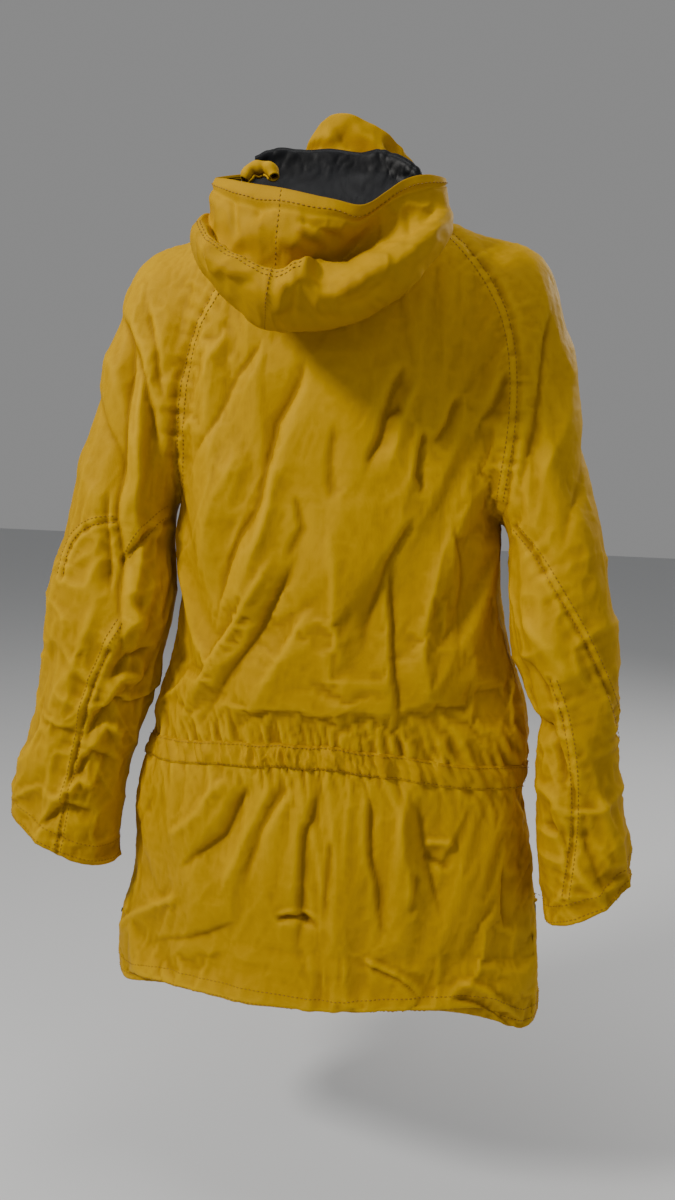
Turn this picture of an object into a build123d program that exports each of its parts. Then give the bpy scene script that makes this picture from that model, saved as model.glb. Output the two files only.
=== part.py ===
"""Hooded hip-length parka, hanging empty with its front zipped, made of separate sewn pieces.

Millimetres. +Z is up, the wearer faces -Y, and the wearer's left is +X. The origin is where a
coat hanger's neck passes through the middle of the neck opening, just above the neck seam.
Every cloth piece is a plain solid with its real outline, wall and openings. Metal trim is to size.
"""

import math
import os

from build123d import *

# ---------------------------------------------------------------- driving dimensions
NECK_Z = -25.0  # neck seam
HEM_Z = -850.0  # bottom edge of the body
ARMPIT_Z = -300.0
WALL = 3.0  # outer cloth with its interlining
LINING_GAP = 0.5
LINING_WALL = 1.2
COLLAR_BACK_Z = 50.0  # top of the standing collar at the nape
COLLAR_FRONT_Z = 12.0

# The front edge is one straight, slightly leaning line, so that the zip runs true.
FRONT_AT_NECK_Y = -78.0
FRONT_LEAN = 0.056  # forward travel for each millimetre downwards
FRONT_ANGLE = math.degrees(math.atan(FRONT_LEAN))

# Body sections: height, half width, back surface, how much thicker the wall is on a slope.
BODY_SECTIONS = [
    (NECK_Z, 74.0, 60.0, 2.2),
    (-50.0, 132.0, 66.0, 2.2),
    (-77.0, 172.0, 78.0, 1.6),
    (-120.0, 168.0, 97.0, 1.0),
    (-200.0, 163.0, 112.0, 1.0),
    (-330.0, 160.0, 118.0, 1.0),
    (-430.0, 164.0, 112.0, 1.0),
    (-510.0, 180.0, 104.0, 1.0),
    (-585.0, 205.0, 99.0, 1.0),
    (-700.0, 214.0, 106.0, 1.0),
    (-780.0, 229.0, 112.0, 1.0),
    (HEM_Z, 236.0, 112.0, 1.0),
]

# Sleeve sections on the wearer's left: height, centre x, centre y, half width, half depth.
SLEEVE_SECTIONS = [
    (-76.0, 170.0, 4.0, 26.0, 20.0),
    (-92.0, 172.0, 6.0, 40.0, 36.0),
    (-124.0, 174.0, 10.0, 50.0, 54.0),
    (-184.0, 180.0, 14.0, 62.0, 68.0),
    (-256.0, 195.0, 18.0, 64.0, 74.0),
    (-330.0, 223.0, 20.0, 51.0, 74.0),
    (-420.0, 234.0, 20.0, 61.0, 74.0),
    (-500.0, 247.0, 20.0, 56.0, 70.0),
    (-590.0, 263.0, 20.0, 50.0, 66.0),
    (-655.0, 275.0, 20.0, 51.0, 62.0),
    (-725.0, 280.0, 20.0, 53.0, 62.0),
]
ELBOW_TOP_Z = -322.0
ELBOW_BOTTOM_Z = -478.0
CUFF_OUTER = (334.0, -664.0)  # the cuff's edge slants: x and z of its two sides
CUFF_INNER = (224.0, -716.0)
CUFF_BAND = 22.0

# Where the raglan seam leaves the neck, how it curves, and the gap between body and arm below it.
SEAM_NECK = (60.0, -10.0)
SEAM_BEND = (137.0, -115.0)
SEAM_ARMPIT = (159.0, ARMPIT_Z)
ARM_GAP = [(166.0, -330.0), (168.0, -430.0), (187.0, -510.0), (209.0, -590.0), (221.0, -730.0)]

# Waist casing and hem.
WAIST_TOP_Z = -540.0
WAIST_BOTTOM_Z = -566.0
CASING_THICK = 1.6
HEM_DEPTH = 24.0

# Hood, thrown back. It hangs as a pouch behind the neck, a little to the wearer's right.
HOOD_X = -16.0
HOOD_SECTIONS = [
    (-166.0, 150.0, 44.0, 14.0),
    (-152.0, 156.0, 76.0, 30.0),
    (-112.0, 164.0, 100.0, 48.0),
    (-72.0, 158.0, 109.0, 58.0),
    (-34.0, 152.0, 108.0, 66.0),
]
HOOD_WALL = 2.6
HOOD_SEAM_X = 16.0  # the seam between the hood's two panels
HOOD_BRIM = 20.0
HOOD_HINGE_Y = 80.0
HOOD_NECK_WIDE = 112.0
HOOD_NECK_THICK = 2.8

# Zip. Its rows leave a narrow gap in the middle, where the slider's web runs.
ZIP_TOP_Z = 4.0
ZIP_BOTTOM_Z = -716.0
TOOTH_PITCH = 5.0
TOOTH_IN = 0.9
TOOTH_OUT = 3.5
TOOTH_HIGH = 3.2
TOOTH_TALL = 2.9
TAPE_WIDE = 16.0
TAPE_THICK = 0.9
TAPE_OFF = 0.4  # the tape stands this far off the cloth
ZIP_SLOT = 8.5  # half width of the gap in the front edges
SLIDER_REST_Z = -6.0
SLIDER_LONG = 14.0
SLIDER_WIDE = 11.0
SLIDER_WEB = 1.2
SLIDER_PLATE = 1.3
PULL_LONG = 30.0
PULL_WIDE = 8.0
PULL_THICK = 1.3

# Storm flap over the zip.
FLAP_LEFT = 38.0
FLAP_RIGHT = -32.0
FLAP_TOP_Z = -44.0
FLAP_BOTTOM_Z = -724.0
FLAP_THICK = 4.4
FLAP_OFF = 10.0
FLAP_ROOT_WIDE = 6.0
SNAP_X = -23.0
SNAP_COUNT = 6
SNAP_RADIUS = 6.5
STUD_RADIUS = 4.0
STUD_TOP = 6.0

# Pockets. Each is laid out on its own plane, which touches the front at the pocket's middle.
POCKET_X = 114.0
POCKET_Z = -714.0
POCKET_TURN = 17.8  # degrees about the vertical, to follow the front round to the side
POCKET_Y = -99.7
POCKET_HALF_WIDE = 58.0
POCKET_HALF_HIGH = 86.0
POCKET_DEEP = 12.0
POCKET_WALL = 2.4
POCKET_FLAP_DROP = 62.0
POCKET_FLAP_HALF_WIDE = 61.0
POCKET_FLAP_THICK = 2.6
POCKET_FLAP_OFF = 16.0
POCKET_FLAP_TOP = 90.0
POCKET_SNAP_X = 38.0
POCKET_SNAP_UP = 42.0

# Small trim.
EYELET_X = 62.0
LOOP_HIGH = 8.0

PARTS = "parts"


def front_y(z):
    """The front edge line's y at a height."""
    return FRONT_AT_NECK_Y + FRONT_LEAN * (z - NECK_Z)


def front_plane(z=0.0, x=0.0, off=0.0):
    """A plane on the front edge line: its x is the row's x, its y runs up the line, its z points out."""
    lean = math.radians(FRONT_ANGLE)
    up = Vector(0, math.sin(lean), math.cos(lean))
    out = Vector(0, -math.cos(lean), math.sin(lean))
    origin = Vector(x, front_y(z), z) + out * off
    return Plane(origin=origin, x_dir=(1, 0, 0), z_dir=out)


def save(shape, name):
    """Labels a finished piece and writes it."""
    shape.label = name
    export_step(shape, f"{PARTS}/{name}.step")


def stack(sections, below=0.0, above=0.0):
    """Lofts ellipses given as height, centre x, centre y, half width and half depth, top one last.

    below and above carry the end sections straight on, past the shape's own ends.
    """
    lowest, highest = sections[0], sections[-1]
    if below:
        sections = [(lowest[0] - below, *lowest[1:])] + sections
    if above:
        sections = sections + [(highest[0] + above, *highest[1:])]
    with BuildPart() as tube:
        for z, x, y, half_wide, half_deep in sections:
            with BuildSketch(Plane.XY.offset(z)):
                with Locations((x, y)):
                    Ellipse(half_wide, half_deep)
        loft(ruled=True)
    return tube.part


def body_tube(grow, past=0.0):
    """The body's shape from neck to hem, grown outwards by grow, or shrunk where it is negative."""
    sections = []
    for z, half_wide, back, slope in reversed(BODY_SECTIONS):
        wider = grow * (slope if grow < 0 else 1.0)
        middle = (back + front_y(z)) / 2
        half_deep = (back - front_y(z)) / 2
        sections.append((z, 0.0, middle, half_wide + wider, half_deep + grow))
    return stack(sections, past, past)


def sleeve_tube(side, grow, below=0.0):
    """One sleeve's shape, from shoulder to past the cuff. side is 1 for the wearer's left."""
    sections = []
    for z, x, y, half_wide, half_deep in reversed(SLEEVE_SECTIONS):
        sections.append((z, side * x, y, half_wide + grow, half_deep + grow))
    top = sections[-1]
    sections[-1] = (top[0] + grow, *top[1:])
    return stack(sections, below)


def shell(outer_grow, inner_grow):
    """Body and both sleeves as one hollow shell between two offsets."""
    with BuildPart() as hollow:
        add(body_tube(outer_grow))
        for side in (1, -1):
            add(sleeve_tube(side, outer_grow))
        add(body_tube(inner_grow, past=5.0), mode=Mode.SUBTRACT)
        for side in (1, -1):
            add(sleeve_tube(side, inner_grow, below=5.0), mode=Mode.SUBTRACT)
    return hollow.part


def body_region():
    """A prism that holds the body between the raglan seams and, below them, between the arms."""
    reach = 400.0
    with BuildPart() as prism:
        with BuildSketch(Plane.XZ.offset(-reach / 2)):
            with BuildLine():
                right_side = [(x, z) for x, z in ARM_GAP]
                for side in (1, -1):
                    ThreePointArc(
                        (side * SEAM_NECK[0], SEAM_NECK[1]),
                        (side * SEAM_BEND[0], SEAM_BEND[1]),
                        (side * SEAM_ARMPIT[0], SEAM_ARMPIT[1]),
                    )
                    Polyline(
                        (side * SEAM_ARMPIT[0], SEAM_ARMPIT[1]),
                        *[(side * x, z) for x, z in right_side],
                        (side * 300.0, -731.0),
                        (side * 300.0, HEM_Z - 20),
                    )
                Line((300.0, HEM_Z - 20), (-300.0, HEM_Z - 20))
                Line((SEAM_NECK[0], SEAM_NECK[1]), (-SEAM_NECK[0], SEAM_NECK[1]))
            make_face()
        extrude(amount=reach)
    return prism.part


def slab(x_low, x_high, y_low, y_high, z_low, z_high):
    """A plain box between limits, used to cut pieces out."""
    with BuildPart() as block:
        with Locations(((x_low + x_high) / 2, (y_low + y_high) / 2, (z_low + z_high) / 2)):
            Box(x_high - x_low, y_high - y_low, z_high - z_low)
    return block.part


def cuff_cut(side):
    """Everything below the cuff's slanting edge, on one side."""
    (outer_x, outer_z), (inner_x, inner_z) = CUFF_OUTER, CUFF_INNER
    slope = (outer_z - inner_z) / (outer_x - inner_x)
    low = HEM_Z - 60
    with BuildPart() as wedge:
        with BuildSketch(Plane.XZ.offset(-200)):
            with BuildLine():
                Polyline(
                    (side * (inner_x - 3), inner_z - 3 * slope),
                    (side * (outer_x + 40), outer_z + 40 * slope),
                    (side * (outer_x + 40), low),
                    (side * (inner_x - 3), low),
                    close=True,
                )
            make_face()
        extrude(amount=400)
    return wedge.part


BODY = body_region()
OUTER_SHELL = shell(0.0, -WALL)
LINING_SHELL = shell(-WALL - LINING_GAP, -WALL - LINING_GAP - LINING_WALL)


# ---------------------------------------------------------------- body panels
def make_body():
    """Back panel, two front panels and the lining of the body."""
    with BuildPart() as back:
        add(OUTER_SHELL)
        add(BODY, mode=Mode.INTERSECT)
        add(slab(-300, 300, 0, 200, HEM_Z, 0), mode=Mode.INTERSECT)
    save(back.part, "back_panel")
    for side, name in ((1, "left_front_panel"), (-1, "right_front_panel")):
        near, far = sorted((side * ZIP_SLOT, side * 300))
        with BuildPart() as front:
            add(OUTER_SHELL)
            add(BODY, mode=Mode.INTERSECT)
            add(slab(near, far, -200, 0, HEM_Z, 0), mode=Mode.INTERSECT)
        save(front.part, name)
    with BuildPart() as lining:
        add(LINING_SHELL)
        add(BODY, mode=Mode.INTERSECT)
        add(slab(-300, 300, -200, 200, HEM_Z + HEM_DEPTH + 2, 0), mode=Mode.INTERSECT)
        add(slab(-ZIP_SLOT, ZIP_SLOT, -200, 0, HEM_Z, 0), mode=Mode.SUBTRACT)
    save(lining.part, "body_lining")


# ---------------------------------------------------------------- sleeves
def make_sleeves():
    """Each sleeve: upper part with its raglan shoulder, elbow, lower part, cuff band and lining."""
    for side, name in ((1, "left"), (-1, "right")):
        near, far = sorted((0.0, side * 420.0))
        levels = [
            ("upper_sleeve", ELBOW_TOP_Z + 0.4, 0.0),
            ("elbow", ELBOW_BOTTOM_Z, ELBOW_TOP_Z),
            ("lower_sleeve", -760.0, ELBOW_BOTTOM_Z - 0.4),
        ]
        for piece, low, high in levels:
            with BuildPart() as sleeve:
                add(OUTER_SHELL)
                add(BODY, mode=Mode.SUBTRACT)
                add(slab(near, far, -200, 200, low, high), mode=Mode.INTERSECT)
                if piece == "lower_sleeve":
                    add(cuff_cut(side), mode=Mode.SUBTRACT)
            save(sleeve.part, f"{name}_{piece}")
        lining_levels = [
            ("upper_sleeve_lining", ELBOW_TOP_Z + 0.4, -60.0),
            ("lower_sleeve_lining", -760.0, ELBOW_BOTTOM_Z - 0.4),
        ]
        for piece, low, high in lining_levels:
            with BuildPart() as lining:
                add(LINING_SHELL)
                add(BODY, mode=Mode.SUBTRACT)
                add(slab(near, far, -200, 200, low, high), mode=Mode.INTERSECT)
                if piece == "lower_sleeve_lining":
                    add(cuff_cut(side).moved(Location((0, 0, CUFF_BAND + 1))), mode=Mode.SUBTRACT)
            save(lining.part, f"{name}_{piece}")
        with BuildPart() as band:
            add(sleeve_tube(side, -WALL - LINING_GAP))
            add(sleeve_tube(side, -WALL - LINING_GAP - CASING_THICK, below=5.0), mode=Mode.SUBTRACT)
            add(cuff_cut(side).moved(Location((0, 0, CUFF_BAND))), mode=Mode.INTERSECT)
            add(cuff_cut(side), mode=Mode.SUBTRACT)
        save(band.part, f"{name}_cuff_band")



# ---------------------------------------------------------------- collar, waist and hem
def collar_tube(grow):
    """The collar's shape, with its front on the front edge line."""
    sections = []
    for z, half_wide, back in ((NECK_Z, 74.0, 60.0), (COLLAR_BACK_Z + 2, 66.0, 62.0)):
        middle = (back + front_y(z)) / 2
        half_deep = (back - front_y(z)) / 2
        sections.append((z, 0.0, middle, half_wide + grow, half_deep + grow))
    return stack(sections)


def above_collar():
    """Everything above the collar's top edge, which rises from the front to the nape."""
    with BuildPart() as wedge:
        with BuildSketch(Plane.YZ.offset(-100)):
            with BuildLine():
                Polyline(
                    (-90, COLLAR_FRONT_Z),
                    (70, COLLAR_BACK_Z),
                    (70, 120),
                    (-90, 120),
                    close=True,
                )
            make_face()
        extrude(amount=200)
    return wedge.part


def make_collar():
    """The collar's outer cloth and its lining, both open at the front for the zip."""
    slot = slab(-ZIP_SLOT, ZIP_SLOT, -120, 0, NECK_Z - 5, 100)
    for name, outer, inner in (
        ("collar", 0.0, -WALL),
        ("collar_lining", -WALL - LINING_GAP, -WALL - LINING_GAP - LINING_WALL),
    ):
        with BuildPart() as ring:
            add(collar_tube(outer))
            add(collar_tube(inner), mode=Mode.SUBTRACT)
            add(above_collar(), mode=Mode.SUBTRACT)
            add(slot, mode=Mode.SUBTRACT)
        save(ring.part, name)


def make_bands():
    """The waist's drawcord casing on the outside, and the hem's facing on the inside."""
    with BuildPart() as casing:
        add(body_tube(CASING_THICK))
        add(body_tube(0.0, past=5.0), mode=Mode.SUBTRACT)
        add(slab(-300, 300, -200, 200, WAIST_BOTTOM_Z, WAIST_TOP_Z), mode=Mode.INTERSECT)
        add(slab(FLAP_RIGHT - 12, FLAP_LEFT + 12, -200, 0, -600, -500), mode=Mode.SUBTRACT)
    save(casing.part, "waist_casing")
    with BuildPart() as facing:
        add(body_tube(-WALL))
        add(body_tube(-WALL - CASING_THICK, past=5.0), mode=Mode.SUBTRACT)
        add(slab(-300, 300, -200, 200, HEM_Z, HEM_Z + HEM_DEPTH), mode=Mode.INTERSECT)
        add(slab(-ZIP_SLOT, ZIP_SLOT, -200, 0, HEM_Z - 5, -500), mode=Mode.SUBTRACT)
    save(facing.part, "hem_facing")
    with BuildPart() as eyelets:
        for side in (1, -1):
            with BuildSketch(Plane.XZ.offset(60)):
                with Locations((side * EYELET_X, (WAIST_TOP_Z + WAIST_BOTTOM_Z) / 2)):
                    Circle(6.0)
                    Circle(3.0, mode=Mode.SUBTRACT)
            extrude(amount=60)
        add(body_tube(CASING_THICK + 1.0), mode=Mode.INTERSECT)
        add(body_tube(CASING_THICK), mode=Mode.SUBTRACT)
    save(eyelets.part, "waist_eyelets")


def make_hang_loop():
    """A short strap across the inside of the nape."""
    with BuildPart() as loop:
        with BuildSketch(Plane.XY.offset(-20.0)):
            with BuildLine():
                Polyline((-33, 62), (-27, 41), (27, 41), (33, 62))
                offset(amount=0.8, side=Side.BOTH)
            make_face()
        extrude(amount=LOOP_HIGH)
        add(collar_tube(-WALL - LINING_GAP - LINING_WALL), mode=Mode.INTERSECT)
    save(loop.part, "hang_loop")


# ---------------------------------------------------------------- hood
def hood_tube(grow, above=0.0):
    """The hood's pouch, grown by grow, with its floor moved down by as much."""
    sections = []
    for z, y, half_wide, half_deep in HOOD_SECTIONS:
        sections.append((z, HOOD_X, y, half_wide + grow, half_deep + grow))
    floor = sections[0]
    sections[0] = (floor[0] - grow, *floor[1:])
    return stack(sections, above=above)


def make_hood():
    """Two panels and a brim round a lining, and the strip that joins the hood to the neck."""
    top = HOOD_SECTIONS[-1][0]
    brim_z = top - HOOD_BRIM
    panels = (
        ("hood_left_panel", HOOD_SEAM_X, 300),
        ("hood_right_panel", -300, HOOD_SEAM_X),
    )
    with BuildPart() as outer:
        add(hood_tube(0.0))
        add(hood_tube(-HOOD_WALL, above=5.0), mode=Mode.SUBTRACT)
    for name, low, high in panels:
        with BuildPart() as panel:
            add(outer.part)
            add(slab(low, high, 0, 300, -300, brim_z), mode=Mode.INTERSECT)
        save(panel.part, name)
    with BuildPart() as brim:
        add(outer.part)
        add(slab(-300, 300, 0, 300, brim_z, 0), mode=Mode.INTERSECT)
    save(brim.part, "hood_brim")
    with BuildPart() as lining:
        add(hood_tube(-HOOD_WALL - LINING_GAP))
        add(hood_tube(-HOOD_WALL - LINING_GAP - LINING_WALL, above=5.0), mode=Mode.SUBTRACT)
    save(lining.part, "hood_lining")
    with BuildPart() as strip:
        with BuildSketch(Plane.XY.offset(NECK_Z + 0.4)):
            with Locations((HOOD_X, (HOOD_HINGE_Y + 3) / 2)):
                Rectangle(HOOD_NECK_WIDE, HOOD_HINGE_Y + 3)
        extrude(amount=HOOD_NECK_THICK)
        add(collar_tube(0.3), mode=Mode.SUBTRACT)
    solids = strip.part.solids().sort_by(Axis.Y)
    save(Part(solids[-1].wrapped), "hood_neck_strip")


# ---------------------------------------------------------------- zip
def row_box(x_low, x_high, z_low, z_high, off_low, off_high):
    """A box laid on the front edge line: x limits, heights, and limits outwards from the line."""
    up = (z_high - z_low) / math.cos(math.radians(FRONT_ANGLE))
    with BuildPart() as box:
        with BuildSketch(front_plane((z_low + z_high) / 2, (x_low + x_high) / 2, off_low)):
            Rectangle(x_high - x_low, up)
        extrude(amount=off_high - off_low)
    return box.part


def make_zip():
    """Two tapes, two rows of teeth, the stops, and the box at the bottom."""
    tooth_low = TAPE_OFF + TAPE_THICK / 2 - TOOTH_TALL / 2
    count = int((ZIP_TOP_Z - ZIP_BOTTOM_Z) / TOOTH_PITCH)
    for side, name in ((1, "left"), (-1, "right")):
        inner, outer = sorted((side * TOOTH_OUT, side * TAPE_WIDE))
        tape = row_box(inner, outer, ZIP_BOTTOM_Z, ZIP_TOP_Z, TAPE_OFF, TAPE_OFF + TAPE_THICK)
        save(tape, f"zip_tape_{name}")
        shift = 0.0 if side == 1 else TOOTH_PITCH / 2
        with BuildPart() as row:
            with BuildSketch(front_plane(ZIP_BOTTOM_Z, 0.0, tooth_low)):
                heights = [TOOTH_PITCH * (number + 0.5) + shift for number in range(count)]
                places = [(side * (TOOTH_IN + TOOTH_OUT) / 2, height) for height in heights]
                with Locations(*places):
                    Rectangle(TOOTH_OUT - TOOTH_IN, TOOTH_HIGH)
            extrude(amount=TOOTH_TALL)
        save(row.part, f"zip_teeth_{name}")
    with BuildPart() as stops:
        for side in (1, -1):
            low, high = sorted((side * TOOTH_IN, side * (TOOTH_OUT + 1.0)))
            add(row_box(low, high, ZIP_TOP_Z + 0.6, ZIP_TOP_Z + 3.6, tooth_low, tooth_low + TOOTH_TALL))
    save(stops.part, "zip_top_stops")
    box = row_box(-4.6, 4.6, ZIP_BOTTOM_Z - 9, ZIP_BOTTOM_Z - 0.4, -1.6, 3.4)
    save(box, "zip_box")


def make_slider():
    """The slider's two plates on their web, its bridge, and the pull that hangs from it."""
    half = SLIDER_LONG / 2
    top_low = 2.9
    bottom_high = -1.7
    rest = SLIDER_REST_Z
    bridge_base = top_low + SLIDER_PLATE
    with BuildPart() as slider:
        with BuildSketch(front_plane(rest, 0.0, top_low)):
            RectangleRounded(SLIDER_WIDE, SLIDER_LONG, 3.0)
        extrude(amount=SLIDER_PLATE)
        with BuildSketch(front_plane(rest, 0.0, bottom_high)):
            RectangleRounded(SLIDER_WIDE, SLIDER_LONG, 3.0)
        extrude(amount=-SLIDER_PLATE)
        add(row_box(-SLIDER_WEB / 2, SLIDER_WEB / 2, rest - half + 1, rest + half - 1, bottom_high, top_low))
        add(row_box(-1.5, 1.5, rest - 5.0, rest - 3.4, bridge_base, bridge_base + 3.6))
        add(row_box(-1.5, 1.5, rest + 3.4, rest + 5.0, bridge_base, bridge_base + 3.6))
        add(row_box(-1.5, 1.5, rest - 5.0, rest + 5.0, bridge_base + 2.6, bridge_base + 3.6))
    save(slider.part, "zip_slider")
    hang = bridge_base + 1.3
    with BuildPart() as pull:
        with BuildSketch(front_plane(rest, 0.0, hang - PULL_THICK / 2)):
            with Locations((0, 1.0 - PULL_LONG / 2)):
                RectangleRounded(PULL_WIDE, PULL_LONG, 2.4)
            with Locations((0, -4.4)):
                Rectangle(4.4, 7.2, mode=Mode.SUBTRACT)
            with Locations((0, 3.4 - PULL_LONG)):
                Circle(1.2, mode=Mode.SUBTRACT)
        extrude(amount=PULL_THICK)
    save(pull.part, "zip_pull")


# ---------------------------------------------------------------- storm flap
def snap_heights():
    """Heights of the snaps, evenly spaced down the storm flap."""
    low = FLAP_BOTTOM_Z + 26
    high = FLAP_TOP_Z - 26
    return [low + (high - low) * number / (SNAP_COUNT - 1) for number in range(SNAP_COUNT)]


def snap_discs(radius, off_low, off_high):
    """One disc at each of the storm flap's snaps, between two distances from the front line."""
    with BuildPart() as discs:
        for z in snap_heights():
            with BuildSketch(front_plane(z, SNAP_X, off_low)):
                Circle(radius)
            extrude(amount=off_high - off_low)
    return discs.part


def make_storm_flap():
    """The flap over the zip, the strip that it is sewn to, and its snaps."""
    top = FLAP_OFF + FLAP_THICK
    flap = row_box(FLAP_RIGHT, FLAP_LEFT, FLAP_BOTTOM_Z, FLAP_TOP_Z, FLAP_OFF, top)
    save(flap, "storm_flap")
    root_low = FLAP_LEFT + 0.4
    with BuildPart() as root:
        add(row_box(root_low, root_low + FLAP_ROOT_WIDE, FLAP_BOTTOM_Z, FLAP_TOP_Z, -20.0, top))
        add(body_tube(0.0, past=5.0), mode=Mode.SUBTRACT)
    save(root.part, "storm_flap_root")
    with BuildPart() as caps:
        add(snap_discs(SNAP_RADIUS, top, top + 1.6))
        add(snap_discs(SNAP_RADIUS - 1.0, FLAP_OFF - 3.0, FLAP_OFF))
    save(caps.part, "storm_flap_snaps")
    with BuildPart() as studs:
        add(snap_discs(STUD_RADIUS, -12.0, STUD_TOP))
        add(body_tube(0.0, past=5.0), mode=Mode.SUBTRACT)
    save(studs.part, "storm_flap_studs")


# ---------------------------------------------------------------- pockets
def pocket_plane(side, off=0.0):
    """The plane of one pocket: x along the pocket, y up it, z outwards."""
    turn = math.radians(POCKET_TURN)
    lean = math.radians(FRONT_ANGLE)
    across = Vector(math.cos(turn), side * math.sin(turn), 0)
    flat = Vector(side * math.sin(turn), -math.cos(turn), 0)
    out = flat * math.cos(lean) + Vector(0, 0, 1) * math.sin(lean)
    origin = Vector(side * POCKET_X, POCKET_Y, POCKET_Z) + out * off
    return Plane(origin=origin, x_dir=across, z_dir=out)


def pocket_box(side, half_wide, up_low, up_high, off_low, off_high):
    """A box on one pocket's plane."""
    with BuildPart() as box:
        with BuildSketch(pocket_plane(side, off_low)):
            with Locations((0, (up_low + up_high) / 2)):
                Rectangle(2 * half_wide, up_high - up_low)
        extrude(amount=off_high - off_low)
    return box.part


def pocket_discs(side, radius, off_low, off_high):
    """The two snaps of one pocket's flap, as discs between two distances from its plane."""
    with BuildPart() as discs:
        with BuildSketch(pocket_plane(side, off_low)):
            with Locations((-POCKET_SNAP_X, POCKET_SNAP_UP), (POCKET_SNAP_X, POCKET_SNAP_UP)):
                Circle(radius)
        extrude(amount=off_high - off_low)
    return discs.part


def make_pockets():
    """Each lower pocket: the bag, the strip that its flap is sewn to, the flap and its snaps."""
    for side, name in ((1, "left"), (-1, "right")):
        inside = POCKET_HALF_WIDE - POCKET_WALL
        floor = -POCKET_HALF_HIGH + POCKET_WALL
        with BuildPart() as bag:
            add(pocket_box(side, POCKET_HALF_WIDE, -POCKET_HALF_HIGH, POCKET_HALF_HIGH, -30, POCKET_DEEP))
            add(
                pocket_box(side, inside, floor, POCKET_HALF_HIGH + 5, -40, POCKET_DEEP - POCKET_WALL),
                mode=Mode.SUBTRACT,
            )
            add(body_tube(0.0, past=5.0), mode=Mode.SUBTRACT)
        save(bag.part, f"{name}_pocket")
        top = POCKET_FLAP_TOP
        off = POCKET_FLAP_OFF
        face = off + POCKET_FLAP_THICK
        wide = POCKET_FLAP_HALF_WIDE
        with BuildPart() as root:
            add(pocket_box(side, wide, top + 0.4, top + 6.0, -30, face))
            add(body_tube(0.0, past=5.0), mode=Mode.SUBTRACT)
        save(root.part, f"{name}_pocket_flap_root")
        save(pocket_box(side, wide, top - POCKET_FLAP_DROP, top, off, face), f"{name}_pocket_flap")
        with BuildPart() as snaps:
            add(pocket_discs(side, SNAP_RADIUS, face, face + 1.6))
            add(pocket_discs(side, SNAP_RADIUS - 1.0, off - 1.4, off))
        save(snaps.part, f"{name}_pocket_snaps")
        studs = pocket_discs(side, STUD_RADIUS, POCKET_DEEP, POCKET_DEEP + 2.2)
        save(studs, f"{name}_pocket_studs")


if __name__ == "__main__":
    os.makedirs(PARTS, exist_ok=True)
    make_body()
    make_sleeves()
    make_collar()
    make_bands()
    make_hang_loop()
    make_hood()
    make_zip()
    make_slider()
    make_storm_flap()
    make_pockets()
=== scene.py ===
"""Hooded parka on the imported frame: its cloth, stitching, hood and trim, with camera and light.

Lengths in the tables are millimetres in the frame: +Z up, the back of the coat faces +Y, and the
wearer's left is +X. MM turns them into metres.
"""
import math

import bmesh
import bpy
import numpy as np
from mathutils import Matrix, Vector
from mathutils.bvhtree import BVHTree


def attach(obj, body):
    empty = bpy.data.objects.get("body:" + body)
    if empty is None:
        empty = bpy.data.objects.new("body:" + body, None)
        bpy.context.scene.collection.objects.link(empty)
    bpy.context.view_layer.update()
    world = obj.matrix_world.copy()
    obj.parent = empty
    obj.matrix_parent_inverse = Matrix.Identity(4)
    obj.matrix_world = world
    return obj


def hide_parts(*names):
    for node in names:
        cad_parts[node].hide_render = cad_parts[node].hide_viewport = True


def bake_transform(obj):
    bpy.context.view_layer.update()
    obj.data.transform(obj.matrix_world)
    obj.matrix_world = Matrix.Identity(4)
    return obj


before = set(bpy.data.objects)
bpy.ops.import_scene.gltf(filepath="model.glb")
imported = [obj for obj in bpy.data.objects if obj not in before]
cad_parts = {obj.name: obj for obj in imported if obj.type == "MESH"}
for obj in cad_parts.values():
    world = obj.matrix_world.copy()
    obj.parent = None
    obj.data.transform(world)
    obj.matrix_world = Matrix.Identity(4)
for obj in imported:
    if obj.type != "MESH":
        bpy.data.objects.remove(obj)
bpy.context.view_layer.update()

MM = 0.001
VOXEL = 5.0 * MM  # mesh size of the coat's cloth before its one subdivision
LINING_INSET = 4.5  # how far the linings and the facings lie inside the cloth, in mm
FACING_INSET = 3.0
DRAPE_FRAMES = 24
DRAPE_LIMIT = 9 * MM  # no point drapes further than this
SLACK_BODY, SLACK_SLEEVE = 0.7, 0.4  # share of the draped movement that is kept

# ---------------------------------------------------------------- the coat's sizes, in mm
NECK_Z = -25.0
HEM_SIDE_Z = -850.0
FRONT_AT_NECK_Y = -78.0
FRONT_LEAN = 0.056
ZIP_SLOT = 8.5

# Height, reach to the wearer's left, reach to the right, back surface.
TORSO = [
    (10, 74, 74, 60),
    (-25, 76, 76, 60),
    (-38, 104, 106, 63),
    (-52, 134, 137, 68),
    (-76, 170, 174, 78),
    (-120, 166, 172, 92),
    (-200, 158, 168, 101),
    (-330, 152, 168, 104),
    (-400, 150, 172, 101),
    (-460, 155, 182, 96),
    (-515, 170, 198, 90),
    (-553, 184, 207, 86),
    (-600, 205, 210, 88),
    (-650, 216, 219, 88),
    (-727, 219, 229, 83),
    (-778, 232, 234, 78),
    (-825, 238, 236, 74),
    (-890, 236, 234, 68),
]

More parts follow.
